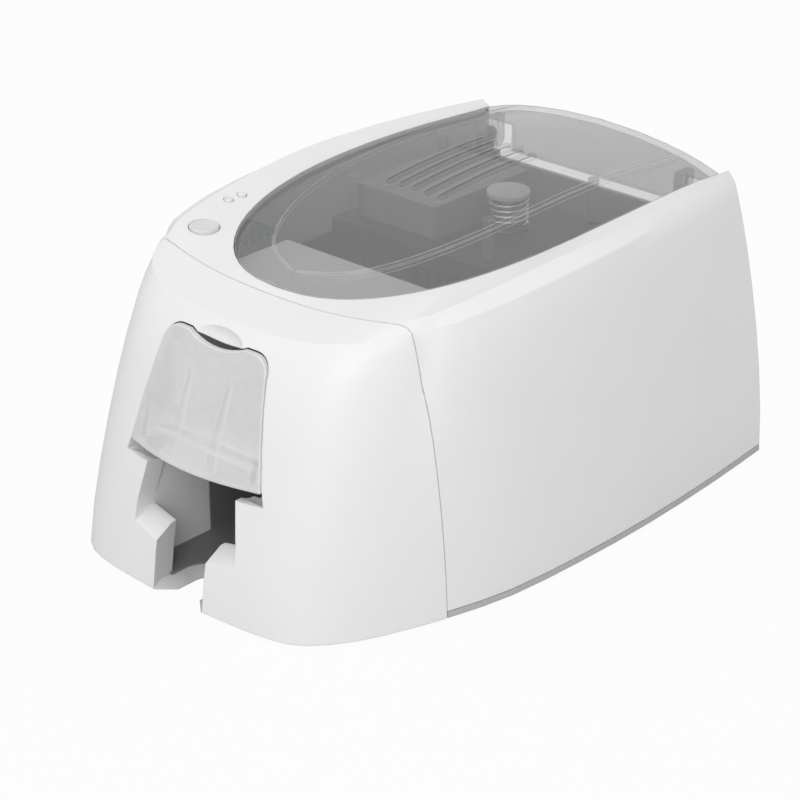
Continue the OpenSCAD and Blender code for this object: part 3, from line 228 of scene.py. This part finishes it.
def scaled(colour, factor):
    """A lighter or darker shade of a colour, no brighter than white."""
    return [min(1, part * factor) for part in colour[:3]] + [1]


# %% [markdown]
# ## The finishes
# Every surface gets its own recipe. They share one frame: a Principled shader whose base
# colour, roughness and relief vary over the piece, while whatever is the same all over is
# written straight on the shader.

# %% Moulded plastic
blotch_mm = 35
moulded_edge_mm = 0.5
edge_brightening = 1.12
grain_share = 0.4


def moulded(name, light, dark, rough=0.45, grain_mm=0.5, relief=0.012):
    """Injection-moulded plastic: spark-eroded grain, faint blotches and softer, paler edges."""
    material, recipe = new_finish(name)
    grain = recipe.noise(grain_mm, 3.0)
    blotch = recipe.noise(blotch_mm, 3.0)
    rounded, edge_mask = recipe.soft_edges(moulded_edge_mm)
    tone = (blotch + grain * grain_share + 0.5).clipped(0, 1)
    body = recipe.blend(tone, dark, light)
    recipe.surface({
        # Edges are paler and smoother in the band that the Bevel node finds.
        "Base Color": recipe.blend(edge_mask * 0.5, body, scaled(light, edge_brightening)),
        "Roughness": grain * 0.18 + blotch * 0.12 + rough - edge_mask * 0.12,
        "Normal": recipe.bump(grain, relief, rounded)})
    return material


# %% [markdown]
# ### White and grey mouldings
# The outer covers are a neutral white with a fine satin grain. The tray under them and the back
# are grey, and the bay that catches the cards is darker still. One recipe with other tones gives
# all of them, so that they look like parts of one machine.

# %% Mouldings
white_cover = moulded("white_cover", grey(0.84), grey(0.80), rough=0.42)
tray_grey = moulded("tray_grey", grey(0.50), grey(0.46), rough=0.5)
pale_moulding = moulded("pale_moulding", grey(0.62), grey(0.57), rough=0.5)
bay_grey = moulded("bay_grey", grey(0.20), grey(0.17), rough=0.5)
dark_moulding = moulded("dark_moulding", grey(0.085), grey(0.070), rough=0.55)
frame_moulding = moulded("frame_moulding", grey(0.36), grey(0.32), rough=0.5)
carrier_moulding = moulded("carrier_moulding", grey(0.060), grey(0.045), rough=0.5)
vent_moulding = moulded("vent_moulding", grey(0.28), grey(0.24), rough=0.5)
black_moulding = moulded("black_moulding", grey(0.030), grey(0.022), rough=0.3, relief=0.005)
button_grey = moulded("button_grey", grey(0.70), grey(0.66), rough=0.3, relief=0.004)
print("materials after the mouldings:", len(bpy.data.materials))

# %% [markdown]
# ### Smoke lid and clear flap
# The lid is tinted clear plastic. Real glass shading would bend the view through the thin shell
# and darken the inside, so the tint is made with Alpha instead: each of the two faces of the
# wall covers part of what lies behind. Fine ripples from the mould stir the reflections, and
# the edges catch the light, so they are paler and hide more.

# %% Clear plastics
ripple_mm = 22
haze_mm = 4
clear_edge_mm = 0.9
edge_gain = 30
edge_start = 0.012
edge_glow = 1.9
edge_cover = 0.45


def clear_plastic(name, light, dark, cover, rough):
    """Tinted clear plastic; cover is how much one face of the wall hides."""
    material, recipe = new_finish(name)
    ripple = recipe.noise(ripple_mm, 1.0)
    haze = recipe.noise(haze_mm, 3.0)
    rounded, edges = recipe.soft_edges(clear_edge_mm, edge_gain, edge_start)
    body = recipe.blend((haze + 0.5).clipped(0, 1), dark, light)
    recipe.surface({
        "Base Color": recipe.blend(edges * 0.7, body, scaled(light, edge_glow)),
        "Roughness": haze * 0.08 + rough,
        "Alpha": (haze * 0.05 + edges * edge_cover + cover).clipped(0, 1),
        "Normal": recipe.bump(ripple, 0.02, rounded)})
    return material


smoke_lid = clear_plastic("smoke_lid", grey(0.35), grey(0.32), cover=0.30, rough=0.12)
clear_flap = clear_plastic("clear_flap", grey(0.96), grey(0.92), cover=0.49, rough=0.22)
print("clear finishes:", smoke_lid.name, clear_flap.name)


# %% [markdown]
# ### Metals
# Side frames are zinc-plated sheet with a rolling direction, rods and shafts are turned, so
# their fine lines run round them, and the head's heat sink is satin aluminium. Stretching the
# same noise in one direction gives each its lines.

# %% Brushed and turned metal
line_mm = 0.25
cloud_mm = 12
line_share = 0.6


def metal(name, light, dark, stretch, rough=0.32, metallic=1.0):
    """Metal or film with fine lines along the axis where stretch is small."""
    material, recipe = new_finish(name)
    lines = recipe.noise(line_mm, 2.0, stretch)
    cloud = recipe.noise(cloud_mm, 3.0)
    recipe.surface({
        "Base Color": recipe.blend((cloud + lines * line_share + 0.5).clipped(0, 1), dark, light),
        "Metallic": metallic,
        "Roughness": lines * 0.2 + cloud * 0.15 + rough,
        "Normal": recipe.bump(lines, 0.004)})
    return material


along_y = (1, 0.04, 1)
along_x = (0.05, 1, 1)
round_x = (1, 0.1, 0.1)
sheet_steel = metal("sheet_steel", (0.60, 0.61, 0.63, 1), (0.50, 0.51, 0.53, 1), along_y)
turned_steel = metal("turned_steel", (0.66, 0.67, 0.69, 1), (0.56, 0.57, 0.59, 1), round_x, 0.25)
heat_sink = metal("heat_sink", (0.55, 0.56, 0.58, 1), (0.45, 0.46, 0.48, 1), along_x, 0.4)
brass_bush = metal("brass_bush", (0.78, 0.60, 0.28, 1), (0.64, 0.47, 0.20, 1), round_x, 0.3)
print("materials after the metals:", len(bpy.data.materials))


# %% [markdown]
# ### Rollers in two materials
# Each card roller is one solid: a rubber sleeve and pulleys on a steel shaft. The material
# tells them apart by how far a point lies from the shaft's axis, which stays true when the
# roller turns, because the coordinates turn with it.

# %% Rubber sleeve on a steel shaft
bare_shaft = (0.62, 0.63, 0.65, 1)
shaft_rough = 0.25
rubber_grain_mm = 0.6
rubber_band_mm = 3
band_stretch = (1, 0.05, 0.05)
darker = 0.8


def roller_finish(name, y_mm, z_mm, shaft_mm, sleeve, sleeve_rough):
    """Sleeve colour outside the shaft's radius, bare steel inside it."""
    material, recipe = new_finish(name)
    _, along, up = recipe.axes()
    dy = along - y_mm * MM
    dz = up - z_mm * MM
    off_axis = dy * dy + dz * dz
    is_sleeve = off_axis.above((shaft_mm * MM) ** 2)
    grain = recipe.noise(rubber_grain_mm, 3.0)
    band = recipe.noise(rubber_band_mm, 2.0, band_stretch)
    rubber = recipe.blend((band + grain + 0.5).clipped(0, 1), scaled(sleeve, darker), sleeve)
    recipe.surface({
        "Base Color": recipe.blend(is_sleeve, bare_shaft, rubber),
        "Metallic": 1 - is_sleeve,
        "Roughness": is_sleeve * (sleeve_rough - shaft_rough) + shaft_rough + grain * 0.15,
        "Normal": recipe.bump(grain, 0.01)})
    return material


roller_rubber = grey(0.045)
film_black = (0.020, 0.019, 0.024, 1)
idler_grey = grey(0.22)
shaft_r = 3.1
idler_shaft_r = 2.1
driven_z = 56.5
idler_z = 67.9
spool_z = 84.5
motor_z = 28.5
roller_axes = {
    "pick_roller": (-60, driven_z), "feed_roller": (-10, driven_z),
    "platen_roller": (49, driven_z), "exit_roller": (109, driven_z),
    "motor_pulley": (8, motor_z),
}
finishes = {}
for node, (y, z) in roller_axes.items():
    finishes[node] = roller_finish(node + "_rubber", y, z, shaft_r, roller_rubber, 0.7)
for node, y in {"front_pinch_roller": -10, "rear_pinch_roller": 109}.items():
    finishes[node] = roller_finish(node + "_sleeve", y, idler_z, idler_shaft_r, idler_grey, 0.5)
for node, y in {"supply_spool": 91, "takeup_spool": 0}.items():
    finishes[node] = roller_finish(node + "_film", y, spool_z, shaft_r, film_black, 0.2)
print("two-part finishes:", sorted(finishes))

# %% [markdown]
# ### Rubber, circuit board and film
# The feet and belts are plain rubber with a dusty bloom. The circuit board is green lacquer
# over faint copper tracks, and whatever stands above it is a dark part body, so one recipe
# changes colour at the board's upper face.

# %% Board, rubber and ribbon
dusty_rubber = moulded("dusty_rubber", grey(0.050), grey(0.030), rough=0.75,
                       grain_mm=0.8, relief=0.02)
track_pitch_mm = 9
track_width = 0.02
board_grain_mm = 0.7
lacquer_green = (0.02, 0.12, 0.05, 1)
track_green = (0.10, 0.30, 0.14, 1)
part_grey = grey(0.04)
main_board_top = 12.2
button_board_top = 115.2


def board_finish(name, top_mm):
    """Green lacquer with tracks up to the board's top, dark component bodies above it."""
    material, recipe = new_finish(name)
    _, _, up = recipe.axes()
    tracks = recipe.node("ShaderNodeTexBrick", None, {
        "Vector": recipe.place(), "Scale": 1 / (track_pitch_mm * MM), "Mortar Size": track_width,
        "Color1": grey(0), "Color2": grey(0), "Mortar": grey(1)})
    lacquer = recipe.blend(tracks, lacquer_green, track_green)
    high = up.above(top_mm * MM)
    grain = recipe.noise(board_grain_mm, 2.0)
    recipe.surface({
        "Base Color": recipe.blend(high, lacquer, part_grey),
        "Roughness": grain * 0.1 + high * 0.25 + 0.25,
        "Normal": recipe.bump(tracks, 0.03)})
    return material


finishes["main_board"] = board_finish("main_board_lacquer", main_board_top)
finishes["button_board"] = board_finish("button_board_lacquer", button_board_top)
ribbon_black = metal("ribbon_black", (0.05, 0.05, 0.06, 1), (0.03, 0.03, 0.035, 1), along_x,
                     0.15, metallic=0.0)
lens_clear = moulded("lens_clear", (0.78, 0.82, 0.78, 1), (0.70, 0.74, 0.70, 1), rough=0.18,
                     relief=0.002)

# %% [markdown]
# ## Painting the CAD solids
# A solid whose shape is right stays as it is and only takes a finish. A finish goes on by
# clearing the material slots of the mesh and adding the new material.

# %% Give each solid its finish
finishes.update({
    "base_tray": tray_grey, "rubber_feet": dusty_rubber, "front_cover": white_cover,
    "main_housing": white_cover, "rear_panel": tray_grey, "case_screws": turned_steel,
    "output_tray": bay_grey, "input_hopper": pale_moulding, "hopper_hood": white_cover,
    "side_frames": sheet_steel, "tie_bars": turned_steel, "inner_deck": frame_moulding,
    "hinge_brackets": frame_moulding, "power_inlet": black_moulding,
    "usb_socket": turned_steel, "drive_motor": turned_steel,
    "drive_belt": dusty_rubber, "pick_belt": dusty_rubber, "roller_bushes": brass_bush,
    "status_lights": lens_clear, "switch_bezel": black_moulding, "lid_shell": smoke_lid,
    "lid_hinges": smoke_lid, "head_carrier": carrier_moulding, "spring_cap": pale_moulding,
    "head_spring": turned_steel, "print_head": heat_sink, "hopper_flap": clear_flap,
    "flap_rod": turned_steel, "control_button": button_grey, "card_weight": dark_moulding,
    "ribbon_film": ribbon_black, "power_rocker": black_moulding,
})


def paint(piece, material):
    """Gives a piece this one material."""
    piece.data.materials.clear()
    piece.data.materials.append(material)
    for face in piece.data.polygons:
        face.material_index = 0


for node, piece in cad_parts.items():
    paint(piece, finishes[node])
print("painted solids:", len(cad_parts))

# %% [markdown]
# ## Covers with smooth curves
# The CAD builds its domed covers from flat facets. On the real printer they are one smooth
# sweep. A copy of the solid is welded, because it arrives as loose triangles, and then shaded
# smooth wherever two faces meet at a shallow angle, so the openings keep their crisp edges.

# %% Welded copies of the covers
weld_mm = 0.004
smooth_degrees = 30
lid_smooth_degrees = 18


def welded_copy(node, name, body, bend_degrees):
    """A welded, smooth-shaded copy that stands for a CAD solid."""
    piece = bpy.data.objects.new(name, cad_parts[node].data.copy())
    bpy.context.scene.collection.objects.link(piece)
    piece.data.name = name
    only(piece)
    bpy.ops.mesh.customdata_custom_splitnormals_clear()
    bpy.ops.object.mode_set(mode="EDIT")
    bpy.ops.mesh.select_all(action="SELECT")
    bpy.ops.mesh.remove_doubles(threshold=weld_mm * MM)
    bpy.ops.object.mode_set(mode="OBJECT")
    bpy.ops.object.shade_smooth_by_angle(angle=math.radians(bend_degrees))
    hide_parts(node)
    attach(piece, body)
    count(piece)
    return piece


front_shell = welded_copy("front_cover", "front_shell", "base",
                          smooth_degrees)
welded_copy("main_housing", "side_and_deck_shell", "base", smooth_degrees)
welded_copy("lid_shell", "smoke_lid_dome", "lid", lid_smooth_degrees)
welded_copy("hopper_flap", "clear_flap_panel", "flap", smooth_degrees)

# %% [markdown]
# ### Painted shade on the sides of the finger slot
# The side walls and the sill of the finger slot are painted a shade greyer than the cover's
# outside, standing for the shadow that falls in the slot. They are found by their place and by
# the way that they face, and take a second material.

# %% Painted shade inside the slot
# A greyer copy of the white moulding, used as painted shade on the slot's inner faces.
painted_shade_grey = moulded("painted_shade_grey", grey(0.60), grey(0.56), rough=0.5)
front_shell.data.materials.append(painted_shade_grey)
throat_x = 15.5
throat_y = (-137, -85)
throat_z = (3, 58)
sill_x = 14.4
sill_top = 5.2
sideways = 0.8
shaded_faces = 0
for face in front_shell.data.polygons:
    x, y, z = (v / MM for v in face.center)
    on_side = abs(face.normal.x) > sideways and abs(x) < throat_x and throat_z[0] < z < throat_z[1]
    on_sill = abs(x) < sill_x and z < sill_top
    if throat_y[0] < y < throat_y[1] and (on_side or on_sill):
        # These faces take the painted shade.
        face.material_index = 1
        shaded_faces += 1
print("grey faces in the slot:", shaded_faces)

# %% [markdown]
# ## Moulded parts with rounded edges
# No moulding has razor edges. For the plainer parts a copy is welded, its flat areas are
# cleaned of stray edges, and a Bevel modifier rounds what is left. Limiting it by angle keeps
# the faint steps of a cylinder out of it.

# %% Rounded copies of the plainer parts
flat_degrees = 0.5
sharp_degrees = 50


def rounded_copy(node, name, body, round_mm):
    """A copy with small rounded edges that stands for a CAD solid."""
    piece = welded_copy(node, name, body, smooth_degrees)
    only(piece)
    bpy.ops.object.mode_set(mode="EDIT")
    bpy.ops.mesh.select_all(action="SELECT")
    bpy.ops.mesh.dissolve_limited(angle_limit=math.radians(flat_degrees))
    bpy.ops.object.mode_set(mode="OBJECT")
    apply_modifier(piece, "BEVEL", width=round_mm * MM, segments=2, limit_method="ANGLE",
                   angle_limit=math.radians(sharp_degrees), use_clamp_overlap=True)
    bpy.ops.object.shade_smooth_by_angle(angle=math.radians(smooth_degrees))
    count(piece)


for node, name, body, slot, round_mm in (
    ("output_tray", "card_bay_lining", "base", "dark_plastic", 0.3),
    ("input_hopper", "card_well", "base", "pale_grey_plastic", 0.3),
    ("head_carrier", "head_carrier_block", "lid", "dark_plastic", 0.5),
    ("spring_cap", "spring_cap_disc", "lid", "pale_grey_plastic", 0.6),
    ("rear_panel", "rear_panel_moulding", "base", "pale_grey_plastic", 0.3),
    ("card_weight", "card_press_weight", "weight", "dark_plastic", 0.4),
    ("switch_bezel", "switch_frame", "base", "black_plastic", 0.4),
    ("power_rocker", "rocker_key", "rocker", "black_plastic", 0.3),
):
    rounded_copy(node, name, body, round_mm)

# %% [markdown]
# ### Three tones on the head carrier
# The carrier is one moulding, but it isn't one colour: the plate is nearly black, the raised
# block with the fan of slots above it is grey, and the posts that reach up to the lid are as
# clear as the lid. Each face gets its material by where its middle lies.

# %% Block and posts of the carrier
carrier = bpy.data.objects["head_carrier_block"]
plate_top = 115.6
block_x = (-40.6, 5.6)
block_y = (15.4, 78.6)
for extra in (vent_moulding, smoke_lid):
    carrier.data.materials.append(extra)
tones = [0, 0, 0]
for face in carrier.data.polygons:
    x, y, z = (v / MM for v in face.center)
    if z > plate_top:
        in_block = block_x[0] < x < block_x[1] and block_y[0] < y < block_y[1]
        face.material_index = 1 if in_block else 2
    tones[face.material_index] += 1
print("faces of plate, block and posts:", tones)

# %% [markdown]
# ## The head spring
# The print head is pressed down by a coil of round wire under a cap in the lid. A spring could
# be a curve, but the Screw modifier is the clearest way: one small circle, the wire's section,
# is swept round an axis while it climbs. Its two ends are then closed.

# %% Coil of round wire
wire_r = 0.9
coil_r = 8.1
coil_turns = 4.5
coil_rise = 11.16
wire_sides = 16
coil_steps = int(coil_turns * 32)
coil_smooth_degrees = 50
coil_place = (18, 49, 118.22)
bpy.ops.object.select_all(action="DESELECT")
bpy.ops.mesh.primitive_circle_add(vertices=wire_sides, radius=wire_r * MM,
                                  location=(coil_r * MM, 0, 0), rotation=(math.pi / 2, 0, 0))
coil = new_piece("head_coil")
apply_modifier(coil, "SCREW", angle=coil_turns * 2 * math.pi, screw_offset=coil_rise * MM,
               steps=coil_steps, render_steps=coil_steps, use_smooth_shade=True)
bpy.ops.object.mode_set(mode="EDIT")
bpy.ops.mesh.select_all(action="SELECT")
bpy.ops.mesh.fill_holes(sides=0)
bpy.ops.mesh.select_all(action="SELECT")
bpy.ops.mesh.normals_make_consistent(inside=False)
bpy.ops.transform.translate(value=[v * MM for v in coil_place])
bpy.ops.object.mode_set(mode="OBJECT")
bpy.ops.object.shade_smooth_by_angle(angle=math.radians(coil_smooth_degrees))
paint(coil, turned_steel)
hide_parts("head_spring")
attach(coil, "lid")
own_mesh(coil)
count(coil)

# %% [markdown]
# ## The ribbon
# The dye ribbon leaves the full spool, runs under the print head and climbs to the take-up
# spool. It is a strip of film, so it starts as a flat strip, is extruded along its path one
# stretch at a time, gets its bends rounded, and only then a thin wall.

# %% Film under the print head
film_path = [(3.1, 74.35), (39.2, 63.1), (58.8, 63.1), (86.9, 69.0)]
film_width = 57.0
film_thick = 0.12
film_bend_mm = 4
film_bend_degrees = 8
close_mm = 0.1
(y0, z0), (y1, z1) = film_path[:2]
bpy.ops.object.select_all(action="DESELECT")
bpy.ops.mesh.primitive_plane_add(size=MM, location=(0, (y0 + y1) / 2 * MM, (z0 + z1) / 2 * MM),
                                 rotation=(math.atan2(z1 - z0, y1 - y0), 0, 0))
bpy.context.active_object.scale = (film_width, math.hypot(y1 - y0, z1 - z0), 1)
film = new_piece("ribbon_web")
for (ya, za), (yb, zb) in zip(film_path[1:], film_path[2:]):
    only(film)
    bpy.ops.object.mode_set(mode="EDIT")
    bpy.ops.mesh.select_mode(type="EDGE")
    bpy.ops.mesh.select_all(action="DESELECT")
    bpy.ops.object.mode_set(mode="OBJECT")
    for edge in film.data.edges:
        edge.select = all(abs(film.data.vertices[v].co.y - ya * MM) < close_mm * MM
                          for v in edge.vertices)
    bpy.ops.object.mode_set(mode="EDIT")
    bpy.ops.mesh.extrude_region_move(
        TRANSFORM_OT_translate={"value": (0, (yb - ya) * MM, (zb - za) * MM)})
    bpy.ops.object.mode_set(mode="OBJECT")
apply_modifier(film, "BEVEL", width=film_bend_mm * MM, segments=5, limit_method="ANGLE",
               angle_limit=math.radians(film_bend_degrees))
apply_modifier(film, "SOLIDIFY", thickness=film_thick * MM, offset=0)
bpy.ops.object.shade_smooth_by_angle(angle=math.radians(smooth_degrees))
paint(film, ribbon_black)
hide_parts("ribbon_film")
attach(film, "base")
count(film)

# %% [markdown]
# ## The button
# The round button on the deck has a shallow dish for the fingertip. It begins as a short
# cylinder; its top face is inset three times and lowered, its lower face is drawn in and pulled
# down into the plunger that works the switch.

# %% Dished button cap
button_place = (-61.5, -56)
button_r = 6.5
button_low = 117.7
button_top = 126.1
button_sides = 64
rim_inset = 1.1
dish_insets = ((1.2, 0.45), (2.0, 0.15))
plunger_inset = 4.0
plunger_drop = 1.1
button_round = 0.45
cap_degrees = 40
facing = 0.9
bpy.ops.object.select_all(action="DESELECT")
bpy.ops.mesh.primitive_cylinder_add(
    vertices=button_sides, radius=button_r * MM, depth=(button_top - button_low) * MM,
    location=(button_place[0] * MM, button_place[1] * MM, (button_top + button_low) / 2 * MM))
button = new_piece("button_cap")
pick_faces(button, lambda face: face.normal.z > facing)
bpy.ops.mesh.inset(thickness=rim_inset * MM)
for inset, drop in dish_insets:
    bpy.ops.mesh.inset(thickness=inset * MM)
    bpy.ops.transform.translate(value=(0, 0, -drop * MM))
pick_faces(button, lambda face: face.normal.z < -facing)
bpy.ops.mesh.inset(thickness=plunger_inset * MM)
bpy.ops.mesh.extrude_region_move(TRANSFORM_OT_translate={"value": (0, 0, -plunger_drop * MM)})
bpy.ops.object.mode_set(mode="OBJECT")
apply_modifier(button, "BEVEL", width=button_round * MM, segments=3, limit_method="ANGLE",
               angle_limit=math.radians(cap_degrees))
bpy.ops.object.shade_smooth_by_angle(angle=math.radians(cap_degrees))
paint(button, button_grey)
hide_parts("control_button")
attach(button, "button")
count(button)

# %% [markdown]
# ## The status lights
# Two short light pipes show beside the button. One is modelled as a rod with a domed end, then
# copied to the second place; the copy gets its own mesh and ends a little higher, because the
# deck rises towards the back.

# %% Domed light pipes
light_places = ((-71.2, -32, 128.7), (-70.6, -24.5, 129.4))
light_low = 115.1
light_r = 2.0
light_sides = 32
light_inset = 1.0
light_round = 0.9
lights = []
for number, (x, y, top) in enumerate(light_places):
    bpy.ops.object.select_all(action="DESELECT")
    if not lights:
        bpy.ops.mesh.primitive_cylinder_add(
            vertices=light_sides, radius=light_r * MM, depth=(top - light_low) * MM,
            location=(x * MM, y * MM, (top + light_low) / 2 * MM))
        lens = new_piece("light_pipe_front")
        pick_faces(lens, lambda face: face.normal.z > facing)
        bpy.ops.mesh.inset(thickness=light_inset * MM)
        bpy.ops.object.mode_set(mode="OBJECT")
        apply_modifier(lens, "BEVEL", width=light_round * MM, segments=4, limit_method="ANGLE",
                       angle_limit=math.radians(cap_degrees))
        bpy.ops.object.shade_smooth_by_angle(angle=math.radians(cap_degrees))
    else:
        lens = bpy.data.objects.new("light_pipe_rear", lights[0].data.copy())
        bpy.context.scene.collection.objects.link(lens)
        only(lens)
        bpy.ops.object.mode_set(mode="EDIT")
        bpy.ops.mesh.select_all(action="SELECT")
        before = light_places[0]
        bpy.ops.transform.translate(value=((x - before[0]) * MM, (y - before[1]) * MM, 0))
        bpy.ops.mesh.select_all(action="DESELECT")
        bpy.ops.object.mode_set(mode="OBJECT")
        middle = (before[2] + light_low) / 2 * MM
        for point in lens.data.vertices:
            point.select = point.co.z > middle
        bpy.ops.object.mode_set(mode="EDIT")
        bpy.ops.transform.translate(value=(0, 0, (top - before[2]) * MM))
        bpy.ops.object.mode_set(mode="OBJECT")
    paint(lens, lens_clear)
    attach(lens, "base")
    lights.append(lens)
    count(lens)
for lens in lights:
    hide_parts("status_lights")

# %% [markdown]
# ## Camera
# The camera stands where the photograph was taken: 42 degrees round to the right and 26 degrees
# up, with a long lens, so that the lines of the case hardly run together.

# %% Camera at the photograph's view
camera_place = Vector((0.6750, -0.7447, 0.5279))
view_azimuth = math.radians(42.213)
view_height = math.radians(25.712)
lens_mm = 115.02
sensor_mm = 36
towards_camera = Vector((math.sin(view_azimuth) * math.cos(view_height),
                         -math.cos(view_azimuth) * math.cos(view_height),
                         math.sin(view_height)))
camera_data = bpy.data.cameras.new("photo_camera")
camera_data.lens = lens_mm
camera_data.sensor_width = sensor_mm
camera = bpy.data.objects.new("photo_camera", camera_data)
camera.location = camera_place
camera.rotation_euler = (-towards_camera).to_track_quat("-Z", "Y").to_euler()
bpy.context.scene.collection.objects.link(camera)
bpy.context.scene.camera = camera
print("camera distance:", round(camera_place.length, 3))

# %% [markdown]
# ## Floor, sky and lamps
# The picture has a white ground. The floor is a matt grey for the light that it throws back, but
# the camera sees it almost as plain white, with only a trace of the shadow. The sky is white to
# the camera and to reflections, and dimmer as a lamp. One soft lamp stands in front at the right
# and another hangs above the front, so that the front and the deck are brighter than the side.

# %% Stage
floor_size = 8
floor_grey = 0.62
floor_plain_share = 0.95
ambient = 0.72
aim_height = 0.07
bpy.ops.object.select_all(action="DESELECT")
bpy.ops.mesh.primitive_plane_add(size=floor_size)
floor = new_piece("floor")
floor_paint, recipe = new_finish("pale_floor")
seen = recipe.node("ShaderNodeLightPath", output="Is Camera Ray")
matt = recipe.node("ShaderNodeBsdfDiffuse", None, {"Color": grey(floor_grey)})
plain = recipe.node("ShaderNodeEmission", None, {"Color": grey(1.0), "Strength": 1.0})
floor_mix = recipe.node("ShaderNodeMixShader", None,
                        {0: seen * floor_plain_share, 1: matt, 2: plain})
recipe.node("ShaderNodeOutputMaterial", None, {"Surface": floor_mix})
paint(floor, floor_paint)

world = bpy.data.worlds.new("white_studio")
world.use_nodes = True
bpy.context.scene.world = world
recipe = Recipe(world.node_tree)
ray = recipe.node("ShaderNodeLightPath", output="Is Camera Ray")
path = ray.socket.node
shown = (ray + Wire(recipe, path.outputs["Is Glossy Ray"])
         + Wire(recipe, path.outputs["Is Transmission Ray"])).clipped(0, 1)
sky = recipe.node("ShaderNodeBackground", None,
                  {"Color": grey(1.0), "Strength": shown * (1 - ambient) + ambient})
recipe.node("ShaderNodeOutputWorld", None, {"Surface": sky})


def lamp(name, place, size, watts):
    """A soft square lamp that points at the printer."""
    data = bpy.data.lights.new(name, "AREA")
    data.shape = "SQUARE"
    data.size = size
    data.energy = watts
    made = bpy.data.objects.new(name, data)
    made.location = place
    aim = Vector(place) - Vector((0, 0, aim_height))
    made.rotation_euler = (-aim).to_track_quat("-Z", "Y").to_euler()
    bpy.context.scene.collection.objects.link(made)


lamp("corner_lamp", place=(1.0, -1.35, 1.0), size=0.8, watts=10)
lamp("high_lamp", place=(-0.1, -0.7, 1.8), size=1.2, watts=5)
bpy.context.scene.view_settings.view_transform = "Standard"
print("lamps:", len(bpy.data.lights))
